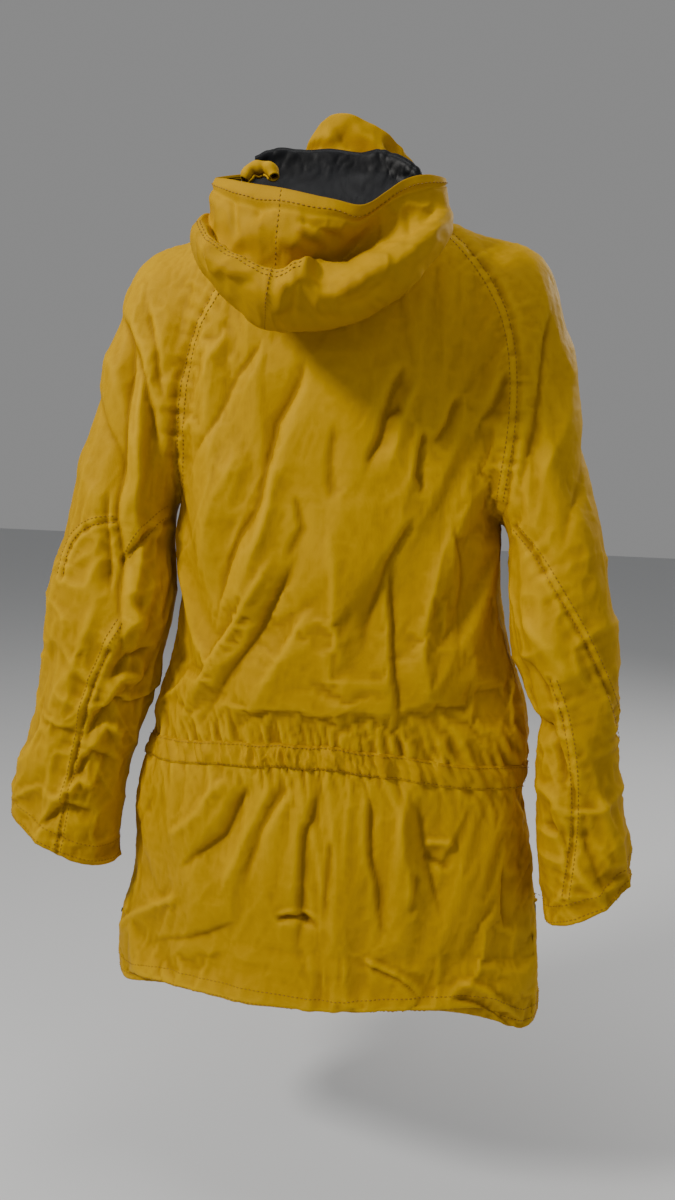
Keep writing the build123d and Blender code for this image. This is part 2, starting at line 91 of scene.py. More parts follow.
# Height, inner edge, outer edge, centre y, half depth. One list for each sleeve.
SLEEVES = {
    1: [
        (-56, 130, 172, 4, 12),
        (-66, 132, 192, 5, 24),
        (-80, 134, 204, 6, 36),
        (-100, 130, 215, 9, 48),
        (-124, 126, 223, 12, 56),
        (-184, 118, 241, 16, 64),
        (-256, 131, 259, 20, 66),
        (-330, 166, 275, 24, 64),
        (-384, 162, 291, 26, 62),
        (-420, 163, 299, 26, 62),
        (-475, 176, 309, 25, 60),
        (-541, 194, 321, 24, 56),
        (-582, 210, 330, 23, 54),
        (-633, 224, 342, 22, 55),
        (-680, 229, 345, 21, 56),
        (-770, 232, 345, 20, 56),
    ],
    -1: [
        (-56, 132, 176, 4, 12),
        (-66, 134, 196, 5, 24),
        (-80, 134, 208, 6, 36),
        (-100, 130, 217, 9, 48),
        (-133, 126, 231, 12, 56),
        (-207, 124, 246, 16, 64),
        (-272, 140, 259, 20, 66),
        (-329, 178, 273, 26, 62),
        (-386, 182, 284, 30, 60),
        (-444, 190, 293, 32, 58),
        (-494, 209, 295, 32, 55),
        (-534, 220, 299, 30, 52),
        (-574, 222, 306, 28, 52),
        (-634, 226, 316, 26, 54),
        (-676, 231, 320, 24, 55),
        (-770, 246, 322, 22, 55),
    ],
}

# The raglan seams and, below them, the line between body and arm. Under the cuffs it swings out,
# so that the skirt's sides stay with the body.
RAGLAN = {
    1: [(58, -8), (82, -60), (104, -110), (127, -148), (141, -200), (146, -255), (150, -306)],
    -1: [
        (58, -8), (104, -44), (132, -70), (156, -100), (174, -135), (184, -178), (186, -235),
        (178, -306),
    ],
}
ARM_GAP = {
    1: [
        (157, -322), (156, -400), (166, -470), (190, -541), (208, -590), (222, -640),
        (224, -738), (400, -744),
    ],
    -1: [
        (173, -322), (177, -400), (187, -455), (205, -505), (215, -550), (217, -600),
        (223, -650), (229, -738), (400, -744),
    ],
}
# Each cuff's slanting edge: outer and inner end.
CUFFS = {1: ((345, -655), (226, -716)), -1: ((322, -668), (230, -722))}

WAIST_TOP_Z = -541.0
WAIST_BOTTOM_Z = -566.0


# ---------------------------------------------------------------- small helpers
def front_y(z):
    """The front edge's y at a height, in mm."""
    return FRONT_AT_NECK_Y + FRONT_LEAN * (z - NECK_Z)


def smooth_rows(rows, z):
    """A table's row at height z, on a smooth curve through its rows. Heights run downwards."""
    table = np.array(rows, float)
    heights = -table[:, 0]
    h = float(np.clip(-z, heights[0], heights[-1]))
    i = int(np.clip(np.searchsorted(heights, h) - 1, 0, len(heights) - 2))
    slope = np.gradient(table[:, 1:], heights, axis=0)
    gap = heights[i + 1] - heights[i]
    t = (h - heights[i]) / gap
    a, b = table[i, 1:], table[i + 1, 1:]
    curve = (2 * t**3 - 3 * t**2 + 1) * a + (3 * t**2 - 2 * t**3) * b
    return curve + (t**3 - 2 * t**2 + t) * gap * slope[i] + (t**3 - t**2) * gap * slope[i + 1]


def smoothstep(x, low, high):
    t = np.clip((x - low) / (high - low), 0.0, 1.0)
    return t * t * (3 - 2 * t)


def lattice_hash(ix, iy, iz, seed):
    """A fixed pseudo-random number from 0 to 1 at each lattice point."""
    h = ix * 374761393 + iy * 668265263 + iz * 2147483647 + seed * 1274126177
    h = (h ^ (h >> 13)) * 1274126177
    h = h ^ (h >> 16)
    return (h & 0xFFFF) / 65535.0


def value_noise(p, size, seed):
    """Smooth noise from -1 to 1 with features about size long. p is (n, 3) in mm."""
    q = p / np.array(size, float)
    base = np.floor(q).astype(np.int64)
    f = q - base
    f = f * f * f * (f * (f * 6 - 15) + 10)
    total = np.zeros(len(p))
    for dx in (0, 1):
        wx = f[:, 0] if dx else 1 - f[:, 0]
        for dy in (0, 1):
            wy = f[:, 1] if dy else 1 - f[:, 1]
            for dz in (0, 1):
                wz = f[:, 2] if dz else 1 - f[:, 2]
                corner = lattice_hash(base[:, 0] + dx, base[:, 1] + dy, base[:, 2] + dz, seed)
                total += wx * wy * wz * corner
    return 2 * total - 1


def crumple(p, size, seed):
    """Soft sharp-crested creases, from -1 to 1."""
    warp = np.stack([value_noise(p, np.array(size) * 1.7, seed + k) for k in (11, 23, 37)], axis=1)
    q = p + warp * np.array(size) * 0.55
    return 1 - 2 * np.abs(value_noise(q, size, seed)) ** 0.8


def to_polyline(points, line):
    """Signed distance to a line of (x, z) points, how far along it from 0 to 1, and its length.

    The distance is positive on the wearer's left of a line drawn downwards.
    """
    line = np.array(line, float)
    starts, ends = line[:-1], line[1:]
    lengths = np.linalg.norm(ends - starts, axis=1)
    travelled = np.concatenate([[0], np.cumsum(lengths)])
    best = np.full(len(points), 1e9)
    signed = np.zeros(len(points))
    along = np.zeros(len(points))
    for start, end, length, done in zip(starts, ends, lengths, travelled):
        step = (end - start) / length
        v = points - start
        t = np.clip(v @ step, 0, length)
        near = start + t[:, None] * step
        gap = points - near
        distance = np.linalg.norm(gap, axis=1)
        side = np.sign(step[0] * v[:, 1] - step[1] * v[:, 0])
        closer = distance < best
        best[closer] = distance[closer]
        signed[closer] = (distance * side)[closer]
        along[closer] = ((done + t) / travelled[-1])[closer]
    return signed, along, travelled[-1]


def mesh_object(name, vertices, faces, smooth=True):
    mesh = bpy.data.meshes.new(name)
    mesh.from_pydata([tuple(v) for v in vertices], [], [tuple(int(i) for i in f) for f in faces])
    mesh.validate()
    mesh.update()
    if smooth:
        mesh.shade_smooth()
    obj = bpy.data.objects.new(name, mesh)
    bpy.context.scene.collection.objects.link(obj)
    return obj


def apply_modifiers(obj):
    """Replaces the object's mesh with what its modifiers make of it."""
    graph = bpy.context.evaluated_depsgraph_get()
    mesh = bpy.data.meshes.new_from_object(obj.evaluated_get(graph))
    obj.modifiers.clear()
    old = obj.data
    obj.data = mesh
    bpy.data.meshes.remove(old)
    mesh.shade_smooth()


def vertex_array(mesh):
    flat = np.empty(len(mesh.vertices) * 3)
    mesh.vertices.foreach_get("co", flat)
    return flat.reshape(-1, 3)


def normal_array(mesh):
    flat = np.empty(len(mesh.vertices) * 3, np.float32)
    mesh.vertex_normals.foreach_get("vector", flat)
    return flat.reshape(-1, 3).astype(float)


def set_vertices(mesh, vertices):
    mesh.vertices.foreach_set("co", np.ascontiguousarray(vertices).ravel())
    mesh.update()


def edge_array(mesh):
    flat = np.empty(len(mesh.edges) * 2, np.int64)
    mesh.edges.foreach_get("vertices", flat)
    return flat.reshape(-1, 2)


def smoothed(values, edges, rounds, factor=0.5, keep=None):
    """Laplacian smoothing of per-vertex values. keep holds some vertices still."""
    values = values.copy()
    count = np.bincount(edges.ravel(), minlength=len(values)).astype(float)
    for _ in range(rounds):
        total = np.zeros_like(values)
        np.add.at(total, edges[:, 0], values[edges[:, 1]])
        np.add.at(total, edges[:, 1], values[edges[:, 0]])
        mean = total / np.maximum(count, 1)[:, None]
        moved = values + factor * (mean - values)
        if keep is not None:
            moved[keep] = values[keep]
        values = moved
    return values


# ---------------------------------------------------------------- camera, light and floor
def make_camera():
    """A phone-like wide view of the coat's back, a little from the wearer's right and from above."""
    yaw, pitch, roll = math.radians(11.39), math.radians(8.0), math.radians(1.63)
    forward = Vector(
        (math.sin(yaw) * math.cos(pitch), -math.cos(yaw) * math.cos(pitch), -math.sin(pitch))
    )
    right = forward.cross(Vector((0, 0, 1))).normalized()
    up = right.cross(forward)
    turned_right = right * math.cos(roll) + up * math.sin(roll)
    turned_up = -right * math.sin(roll) + up * math.cos(roll)
    camera = bpy.data.cameras.new("camera")
    camera.lens = 30.0
    camera.sensor_width = 36.0
    camera.clip_start = 0.02
    obj = bpy.data.objects.new("camera", camera)
    basis = Matrix((turned_right, turned_up, -forward)).transposed().to_4x4()
    obj.matrix_world = Matrix.Translation((-0.2121, 1.009, -0.2689)) @ basis
    bpy.context.scene.collection.objects.link(obj)
    bpy.context.scene.camera = obj


def area_light(name, place, target, size, power, colour):
    light = bpy.data.lights.new(name, "AREA")
    light.shape = "DISK"
    light.size = size
    light.energy = power
    light.color = colour
    obj = bpy.data.objects.new(name, light)
    obj.location = place
    aim = Vector(target) - Vector(place)
    obj.rotation_euler = aim.to_track_quat("-Z", "Y").to_euler()
    bpy.context.scene.collection.objects.link(obj)


def make_stage():
    world = bpy.data.worlds.new("world")
    bpy.context.scene.world = world
    world.use_nodes = True
    background = world.node_tree.nodes["Background"]
    background.inputs["Color"].default_value = (0.66, 0.66, 0.66, 1)
    background.inputs["Strength"].default_value = 0.40
    area_light("key", (1.4, 1.45, 0.95), (0, 0, -0.4), 0.42, 50.0, (1.0, 0.97, 0.92))
    area_light("fill", (-1.5, 1.6, 0.7), (0, 0, -0.3), 1.2, 8.0, (0.97, 0.98, 1.0))
    area_light("front_key", (-1.4, -1.8, 0.9), (0, 0, -0.4), 0.9, 34.0, (1.0, 0.97, 0.93))
    area_light("top", (0.2, 0.5, 1.9), (0, 0, -0.3), 1.0, 14.0, (1, 1, 1))
    floor = mesh_object(
        "floor", [(-9, -9, -1.12), (9, -9, -1.12), (9, 9, -1.12), (-9, 9, -1.12)], [(0, 1, 2, 3)]
    )
    material = bpy.data.materials.new("floor")
    material.use_nodes = True
    shader = material.node_tree.nodes["Principled BSDF"]
    shader.inputs["Base Color"].default_value = (0.62, 0.63, 0.64, 1)
    shader.inputs["Roughness"].default_value = 0.85
    floor.data.materials.append(material)


# ---------------------------------------------------------------- materials
class Nodes:
    """Short calls for building one material's node tree."""

    def __init__(self, name):
        self.material = bpy.data.materials.new(name)
        self.material.use_nodes = True
        self.tree = self.material.node_tree
        self.shader = self.tree.nodes["Principled BSDF"]
        self.place = self.add("ShaderNodeTexCoord").outputs["Object"]

    def add(self, kind, **settings):
        node = self.tree.nodes.new(kind)
        for key, value in settings.items():
            setattr(node, key, value)
        return node

    def link(self, a, b):
        self.tree.links.new(a, b)

    def mapped(self, scale=(1, 1, 1), turn=(0, 0, 0), place=None):
        node = self.add("ShaderNodeMapping")
        node.inputs["Scale"].default_value = scale
        node.inputs["Rotation"].default_value = turn
        self.link(place or self.place, node.inputs["Vector"])
        return node.outputs["Vector"]

    def noise(self, scale, detail=3.0, rough=0.55, place=None):
        node = self.add("ShaderNodeTexNoise")
        node.inputs["Scale"].default_value = scale
        node.inputs["Detail"].default_value = detail
        node.inputs["Roughness"].default_value = rough
        self.link(place or self.place, node.inputs["Vector"])
        return node.outputs["Fac"]

    def threads(self, per_metre, direction, distortion=0.0):
        node = self.add("ShaderNodeTexWave", wave_type="BANDS", bands_direction=direction)
        node.inputs["Scale"].default_value = per_metre
        node.inputs["Distortion"].default_value = distortion
        node.inputs["Detail"].default_value = 1.0
        node.inputs["Detail Scale"].default_value = 1.5
        self.link(self.place, node.inputs["Vector"])
        return node.outputs["Fac"]

    def maths(self, operation, a, b=0.0, clamp=False):
        node = self.add("ShaderNodeMath", operation=operation, use_clamp=clamp)
        for socket, value in zip(node.inputs, (a, b)):
            if isinstance(value, (int, float)):
                socket.default_value = value
            else:
                self.link(value, socket)
        return node.outputs[0]

    def ramp(self, factor, stops):
        node = self.add("ShaderNodeValToRGB")
        elements = node.color_ramp.elements
        while len(elements) < len(stops):
            elements.new(0.5)
        for element, (at, colour) in zip(elements, stops):
            element.position = at
            element.color = (*colour, 1)
        self.link(factor, node.inputs["Fac"])
        return node.outputs["Color"]

    def mix(self, factor, a, b, blend="MIX"):
        node = self.add("ShaderNodeMix", data_type="RGBA", blend_type=blend)
        for socket, value in ((node.inputs[0], factor), (node.inputs[6], a), (node.inputs[7], b)):
            if isinstance(value, (int, float)):
                socket.default_value = value
            elif isinstance(value, tuple):
                socket.default_value = (*value, 1)
            else:
                self.link(value, socket)
        return node.outputs[2]

    def bump(self, height, strength, distance, after=None):
        node = self.add("ShaderNodeBump")
        node.inputs["Strength"].default_value = strength
        node.inputs["Distance"].default_value = distance
        self.link(height, node.inputs["Height"])
        if after is not None:
            self.link(after, node.inputs["Normal"])
        return node.outputs["Normal"]

    def put(self, **inputs):
        for name, value in inputs.items():
            socket = self.shader.inputs[name.replace("_", " ")]
            if isinstance(value, (int, float)):
                socket.default_value = value
            elif isinstance(value, tuple):
                socket.default_value = (*value, 1)
            else:
                self.link(value, socket)


def weave_height(n, per_metre):
    """Plain weave: threads along z crossed with threads round the coat."""
    up = n.threads(per_metre, "X", 0.3)
    across = n.threads(per_metre, "Z", 0.3)
    deep = n.threads(per_metre, "Y", 0.3)
    sides = n.maths("MULTIPLY", up, deep)
    return n.maths("ADD", n.maths("MULTIPLY", sides, 0.6), n.maths("MULTIPLY", across, 0.4))


def shell_material():
    """Mustard cotton and nylon: fine plain weave, mottled fading, worn pale with a painted highlight on
    its ridges, and painted shade in its creases.
    """
    n = Nodes("shell_cloth")
    weave = weave_height(n, 420.0)
    slub = n.noise(900.0, 2.0, 0.6, n.mapped((1, 1, 0.12)))
    cloud = n.noise(7.0, 4.0, 0.6)
    blotch = n.noise(38.0, 5.0, 0.62)
    faded = [
        (0.30, (0.42, 0.232, 0.0006)), (0.55, (0.485, 0.274, 0.0008)), (0.75, (0.54, 0.312, 0.001))
    ]
    base = n.ramp(cloud, faded)
    base = n.mix(n.maths("MULTIPLY", blotch, 0.30), base, (0.36, 0.185, 0.0015))
    # Painted light from the folds: ridges are lightened, partly as wear and partly as a painted
    # highlight, and creases are darkened as painted shade.
    fold_wear_and_light = n.add("ShaderNodeAttribute", attribute_name="fold_wear_and_light").outputs["Fac"]
    ridge_light_and_wear = n.maths("MULTIPLY", fold_wear_and_light, 0.42, clamp=True)
    crease_shade = n.maths("MULTIPLY", fold_wear_and_light, -0.62, clamp=True)
    base = n.mix(ridge_light_and_wear, base, (0.68, 0.41, 0.003))
    base = n.mix(crease_shade, base, (0.20, 0.092, 0.001))
    base = n.mix(n.maths("MULTIPLY", weave, 0.12), base, (0.30, 0.155, 0.001))
    rough = n.maths("ADD", n.maths("MULTIPLY", blotch, 0.16), 0.56)
    normal = n.bump(n.noise(55.0, 6.0, 0.6), 0.22, 0.0012)
    normal = n.bump(n.maths("ADD", weave, n.maths("MULTIPLY", slub, 0.5)), 0.35, 0.00018, normal)
    n.put(Base_Color=base, Roughness=rough, Normal=normal)
    n.put(
        Sheen_Weight=0.01, Sheen_Roughness=0.5, Sheen_Tint=(0.90, 0.60, 0.05), Specular_IOR_Level=0.08
    )
    return n.material


def lining_material():
    """Smooth dark navy lining."""
    n = Nodes("dark_lining")
    weave = weave_height(n, 700.0)
    cloud = n.noise(22.0, 4.0, 0.6)
    base = n.ramp(cloud, [(0.3, (0.0012, 0.0014, 0.0020)), (0.7, (0.0030, 0.0036, 0.0052))])
    normal = n.bump(n.noise(40.0, 5.0, 0.6), 0.3, 0.001)
    normal = n.bump(weave, 0.25, 0.0001, normal)
    rough = n.maths("ADD", n.maths("MULTIPLY", cloud, 0.2), 0.38)
    n.put(Base_Color=base, Roughness=rough, Normal=normal)
    n.put(Sheen_Weight=0.02, Sheen_Roughness=0.4, Specular_IOR_Level=0.16)
    return n.material


def thread_material():
    """Sewing thread, a little darker than the cloth, twisted."""
    n = Nodes("sewing_thread")
    twist = n.threads(900.0, "DIAGONAL", 0.2)
    base = n.mix(n.noise(60.0), (0.33, 0.165, 0.002), (0.20, 0.095, 0.0015))
    n.put(Base_Color=base, Roughness=0.62, Normal=n.bump(twist, 0.5, 0.0001))
    return n.material


def tape_material(name, light, dark):
    """A woven tape with a herringbone rib."""
    n = Nodes(name)
    rib = n.maths("MULTIPLY", n.threads(520.0, "Z", 0.2), n.threads(520.0, "X", 0.2))
    base = n.mix(n.maths("MULTIPLY", n.noise(45.0, 4.0), 0.8), light, dark)
    base = n.mix(n.maths("MULTIPLY", rib, 0.3), base, dark)
    n.put(Base_Color=base, Roughness=0.72, Normal=n.bump(rib, 0.5, 0.0002))
    return n.material


def metal_material(name, light, dark, rough, metallic=1.0):
    """Aged metal with handling wear, fine scratches and dull patches."""
    n = Nodes(name)
    patch = n.noise(140.0, 5.0, 0.6)
    scratch = n.noise(1500.0, 2.0, 0.5, n.mapped((1, 1, 0.06)))
    base = n.mix(patch, light, dark)
    edge = n.add("ShaderNodeNewGeometry").outputs["Pointiness"]
    worn = n.maths("MULTIPLY", n.maths("SUBTRACT", edge, 0.53), 7.0, clamp=True)
    base = n.mix(worn, base, tuple(min(1.0, c * 1.5) for c in light))
    roughness = n.maths("ADD", n.maths("MULTIPLY", patch, 0.25), rough)
    n.put(Base_Color=base, Roughness=roughness, Metallic=metallic)
    n.put(Normal=n.bump(scratch, 0.12, 0.0001))
    return n.material


def make_materials():
    return {
        "shell_cloth": shell_material(),
        "dark_lining": lining_material(),
        "thread": thread_material(),
        "strap_tape": tape_material("strap_tape", (0.07, 0.06, 0.05), (0.03, 0.026, 0.02)),
        "zip_tape": tape_material("zip_tape", (0.34, 0.22, 0.03), (0.22, 0.14, 0.02)),
        "snap_cap": metal_material("snap_cap", (0.045, 0.04, 0.03), (0.02, 0.018, 0.014), 0.32, 0.35),
        "snap_metal": metal_material("snap_metal", (0.42, 0.31, 0.14), (0.20, 0.14, 0.06), 0.34),
        "zip_metal": metal_material("zip_metal", (0.50, 0.36, 0.14), (0.26, 0.18, 0.07), 0.30),
        "zip_slider_metal": metal_material(
            "zip_slider_metal", (0.46, 0.34, 0.14), (0.22, 0.15, 0.06), 0.28
        ),
    }


# ---------------------------------------------------------------- the coat's cloth: first shape
def egg_ring(centre_x, left, right, front, back, count, power_front, power_back):
    """A closed ring in plan: reach to each side of centre_x, between a front and a back surface."""
    angle = np.linspace(0, 2 * np.pi, count, endpoint=False)
    c, s = np.cos(angle), np.sin(angle)
    power = np.where(s > 0, power_back, power_front)
    reach = np.where(c > 0, left, right)
    x = centre_x + reach * np.sign(c) * np.abs(c) ** (2 / power)
    middle = (front + back) / 2
    depth = np.where(s > 0, back - middle, middle - front)
    y = middle + depth * np.sign(s) * np.abs(s) ** (2 / power)
    return x, y


def torso_ring(z, count=160):
    left, right, back = smooth_rows(TORSO, z)
    return egg_ring(0.0, left, right, front_y(z), back, count, 2.0, 2.3)


def sleeve_ring(side, z, count=96):
    inner, outer, y, deep = smooth_rows(SLEEVES[side], z)
    centre, half = side * (inner + outer) / 2, (outer - inner) / 2
    return egg_ring(centre, half, half, y - deep, y + deep, count, 2.0, 2.15)


def tube_mesh(name, heights, ring):
    """A closed tube through the ring at each height."""
    vertices, faces = [], []
    for z in heights:
        x, y = ring(z)
        vertices += [(a * MM, b * MM, z * MM) for a, b in zip(x, y)]
    count = len(x)
    for row in range(len(heights) - 1):
        for k in range(count):
            a, b = row * count + k, row * count + (k + 1) % count
            faces.append((a, b, b + count, a + count))
    for row, order in ((0, 1), (len(heights) - 1, -1)):
        faces.append(tuple(row * count + k for k in range(count))[::order])
    obj = mesh_object(name, vertices, faces)
    work = bmesh.new()
    work.from_mesh(obj.data)
    bmesh.ops.recalc_face_normals(work, faces=work.faces)
    work.to_mesh(obj.data)
    work.free()
    return obj


def hem_rise(x, y):
    """How far the hem's edge is above the sides' lowest point, in mm."""
    back = smoothstep(y, 15, 70)
    return back * (22 + 11 * smoothstep(-x, 10, 110)) + 2.5 * np.sin(x / 43.0)


def make_blank():
    """The coat's cloth as one skin, cut open at neck, front, hem and cuffs."""
    parts = [tube_mesh("blank", np.arange(10, -896, -7.0), torso_ring)]
    for side in (1, -1):
        parts.append(
            tube_mesh("arm", np.arange(-56, -736, -7.0), lambda z, side=side: sleeve_ring(side, z))
        )
    work = bmesh.new()
    for part in parts:
        work.from_mesh(part.data)
    mesh = bpy.data.meshes.new("blank")
    work.to_mesh(mesh)
    work.free()
    for part in parts:
        bpy.data.objects.remove(part)
    obj = bpy.data.objects.new("blank", mesh)
    bpy.context.scene.collection.objects.link(obj)
    remesh = obj.modifiers.new("remesh", "REMESH")
    remesh.mode = "VOXEL"
    remesh.voxel_size = VOXEL
    apply_modifiers(obj)
    mesh = obj.data
    vertices, edges = vertex_array(mesh), edge_array(mesh)
    vertices = smoothed(vertices, edges, 6)
    shoulder = vertices[:, 2] > -0.30
    rounder = smoothed(vertices, edges, 26)
    vertices = np.where(shoulder[:, None], rounder, vertices)
    vertices = smoothed(vertices, edges, 3)
    set_vertices(mesh, vertices)

    work = bmesh.new()
    work.from_mesh(mesh)

    def cut(point, normal, where=None):
        """Cuts along a plane and drops what lies on its normal's side."""
        geometry = list(work.faces) if where is None else [f for f in work.faces if where(f)]
        edges = {e for f in geometry for e in f.edges}
        verts = {v for f in geometry for v in f.verts}
        plane = (Vector(point) * MM, Vector(normal).normalized())
        bmesh.ops.bisect_plane(
            work, geom=geometry + list(edges) + list(verts), dist=1e-5,
            plane_co=plane[0], plane_no=plane[1],
        )
        inside = where or (lambda f: True)
        gone = [
            f for f in work.faces
            if inside(f) and (f.calc_center_median() - plane[0]).dot(plane[1]) > 0
        ]
        bmesh.ops.delete(work, geom=gone, context="FACES")

    def in_arm(side):
        def test(face):
            c = face.calc_center_median() / MM
            gap = np.interp(-c.z, [-z for _, z in ARM_GAP[side]], [x for x, _ in ARM_GAP[side]])
            return c.z < -500 and side * c.x > gap
        return test

    arms = {side: in_arm(side) for side in (1, -1)}
    for side in (1, -1):
        (outer_x, outer_z), (inner_x, inner_z) = CUFFS[side]
        slope = (outer_z - inner_z) / (outer_x - inner_x)
        cut((side * inner_x, 0, inner_z), (side * slope, 0, -1), arms[side])
    cut((0, 0, HEM_SIDE_Z), (0, 0, -1), lambda f: not arms[1](f) and not arms[-1](f))
    cut((0, 0, NECK_Z), (0, 0, 1))
    for x in (ZIP_SLOT, -ZIP_SLOT):
        band = [
            f for f in work.faces
            if f.calc_center_median().y < -0.02 and abs(f.calc_center_median().x) < 0.03
        ]
        edges = {e for f in band for e in f.edges}
        verts = {v for f in band for v in f.verts}
        bmesh.ops.bisect_plane(
            work, geom=band + list(edges) + list(verts), dist=1e-5,
            plane_co=(x * MM, 0, 0), plane_no=(1, 0, 0),
        )
    gone = [
        f for f in work.faces
        if f.calc_center_median().y < 0 and abs(f.calc_center_median().x) < ZIP_SLOT * MM
    ]
    bmesh.ops.delete(work, geom=gone, context="FACES")
    loose = [v for v in work.verts if not v.link_faces]
    bmesh.ops.delete(work, geom=loose, context="VERTS")
    work.to_mesh(mesh)
    work.free()
    return obj


# ---------------------------------------------------------------- panels
BACK, LEFT_FRONT, RIGHT_FRONT, LEFT_SLEEVE, RIGHT_SLEEVE = range(5)
PANEL_NAMES = ["back_panel", "left_front_panel", "right_front_panel", "left_sleeve", "right_sleeve"]


def seam_line(side):
    """The raglan seam and the gap below it as one line of (x, z)."""
    return [(side * x, z) for x, z in RAGLAN[side] + ARM_GAP[side]]


def body_edge(side, z):
    """The line's distance from the middle at each height."""
    line = RAGLAN[side] + ARM_GAP[side]
    return np.interp(-z, [-h for _, h in line], [x for x, _ in line])


def label_faces(mesh):
    """The panel that each face belongs to."""
    centres = np.empty(len(mesh.polygons) * 3)
    mesh.polygons.foreach_get("center", centres)
    x, y, z = (centres.reshape(-1, 3) / MM).T
    labels = np.where(y > 0, BACK, np.where(x > 0, LEFT_FRONT, RIGHT_FRONT))
    labels = np.where(x > body_edge(1, z), LEFT_SLEEVE, labels)
    return np.where(-x > body_edge(-1, z), RIGHT_SLEEVE, labels)


def settle_seams(mesh, labels):
    """Moves the vertices between two panels onto the seam, and returns which they are."""
    touching = [set() for _ in mesh.vertices]
    for polygon, label in zip(mesh.polygons, labels):
        for v in polygon.vertices:
            touching[v].add(int(label))
    vertices = vertex_array(mesh) / MM
    seam = np.array([len(t) > 1 for t in touching])
    for side, sleeve in ((1, LEFT_SLEEVE), (-1, RIGHT_SLEEVE)):
        which = np.array([sleeve in t and len(t) > 1 for t in touching])
        near, line = vertices[which][:, [0, 2]], np.array(seam_line(side), float)
        best, goal = np.full(len(near), 1e9), near.copy()
        for a, b in zip(line[:-1], line[1:]):
            t = np.clip(((near - a) @ (b - a)) / ((b - a) @ (b - a)), 0, 1)
            foot = a + t[:, None] * (b - a)
            distance = np.linalg.norm(near - foot, axis=1)
            closer = distance < best
            best[closer], goal[closer] = distance[closer], foot[closer]
        step = goal - near
        length = np.linalg.norm(step, axis=1)
        step *= np.minimum(1, 4.5 / np.maximum(length, 1e-6))[:, None]
        moved = vertices[which]
        moved[:, [0, 2]] += step
        vertices[which] = moved
    sides = np.array(
        [BACK in t and (LEFT_FRONT in t or RIGHT_FRONT in t) and max(t) < 3 for t in touching]
    )
    vertices[sides, 1] *= 0.1
    edges = edge_array(mesh)
    still = ~seam
    between = edges[seam[edges[:, 0]] & seam[edges[:, 1]]]
    ends = np.bincount(between.ravel(), minlength=len(seam)) < 2
    vertices = smoothed(vertices, between, 3, 0.5, still | ends)
    vertices = smoothed(vertices, edges, 2, 0.5, seam | border_vertices(mesh))
    set_vertices(mesh, vertices * MM)
    return seam


def border_vertices(mesh):
    """True for each vertex on an open edge."""
    uses = {}
    for polygon in mesh.polygons:
        for key in polygon.edge_keys:
            uses[key] = uses.get(key, 0) + 1
    found = np.zeros(len(mesh.vertices), bool)
    for (a, b), count in uses.items():
        if count == 1:
            found[a] = found[b] = True
    return found


# ---------------------------------------------------------------- folds
VIEW_POINT = np.array([-212.0, 1009.0, -269.0])
BACK_DEPTH = 105.0
SLEEVE_DEPTH = 80.0
# Each fold: its line of (x, z), its height, its width to the wearer's left and to the right.
BACK_FOLDS = [
    ([(9, -165), (17, -201), (34, -235), (49, -302), (66, -338), (77, -366), (99, -455)], -8, 15, 9),
    ([(62, -254), (93, -329), (114, -407)], 6, 18, 15),
    ([(34, -260), (52, -345), (80, -440)], 4, 10, 12),
    ([(47, -150), (72, -195), (106, -264), (118, -300)], -5, 15, 10),
    ([(80, -150), (104, -210), (126, -275)], 4, 12, 16),
    ([(11, -350), (36, -405), (50, -438), (95, -517), (112, -545)], -7, 12, 18),
    ([(30, -345), (62, -413), (104, -494), (124, -540)], 5, 14, 12),
    ([(-4, -400), (20, -450), (58, -520)], 4, 12, 16),
    ([(-83, -176), (-64, -223), (-56, -280)], -5, 5, 10),
    ([(-96, -186), (-80, -230), (-70, -285)], 3.5, 9, 9),
    ([(-102, -236), (-95, -278), (-102, -302)], -5, 5, 9),
    ([(-132, -206), (-126, -232), (-111, -254)], -4, 5, 8),
    ([(-174, -184), (-155, -235)], -4, 5, 9),
    ([(-62, -226), (-82, -220)], -3, 4, 4),
    ([(-18, -227), (-21, -309)], -2.5, 8, 10),
    ([(15, -297), (8, -333), (26, -364)], -3, 8, 9),
    ([(-95, -313), (-73, -355), (-60, -413), (-49, -453)], -5, 12, 15),
    ([(-75, -350), (-82, -433), (-94, -540)], -4.5, 5, 20),
    ([(-120, -330), (-112, -420), (-124, -520)], 4, 14, 18),
    ([(-20, -320), (-26, -420), (-44, -530)], 3.5, 18, 18),
    ([(-136, -300), (-146, -380), (-150, -470)], -4, 10, 12),
    ([(50, -585), (77, -634), (127, -677)], -7, 12, 13),
    ([(66, -575), (106, -620), (150, -655)], 4, 12, 14),
    ([(10, -574), (41, -631), (58, -690)], -5, 11, 10),
    ([(24, -575), (62, -650), (84, -700)], 4, 12, 12),
    ([(-18, -570), (-6, -635), (-4, -718), (2, -771)], -5, 6, 12),
    ([(-34, -630), (-29, -669), (-24, -725)], -3.5, 6, 9),
    ([(23, -726), (10, -720), (-4, -720), (-22, -728)], -5, 4, 5),
    ([(24, -718), (8, -711), (-8, -712), (-26, -720)], 2.5, 6, 5),
    ([(-66, -569), (-72, -650), (-80, -735)], -5, 5, 18),
    ([(-95, -575), (-104, -650), (-112, -720)], 4, 15, 12),
    ([(-109, -575), (-126, -650), (-148, -717)], -4.5, 12, 15),
    ([(-114, -652), (-107, -702)], -3, 6, 8),
    ([(-57, -752), (-95, -772), (-130, -803)], 3.5, 9, 5),
    ([(-62, -760), (-100, -782), (-128, -806)], -3, 6, 8),
    ([(-120, -628), (-152, -621)], 3, 5, 5),
    ([(-118, -640), (-150, -650)], -3, 5, 5),
    ([(-198, -640), (-203, -705)], -4, 6, 8),
    ([(-155, -780), (-185, -786), (-217, -796)], 4, 7, 7),
    ([(-150, -792), (-185, -798), (-214, -806)], -4, 5, 6),
    ([(150, -590), (176, -650), (196, -720)], -4, 12, 16),
    ([(120, -700), (160, -730), (205, -745)], 4, 10, 14),
    ([(60, -730), (110, -760), (170, -772)], -3, 10, 12),
]
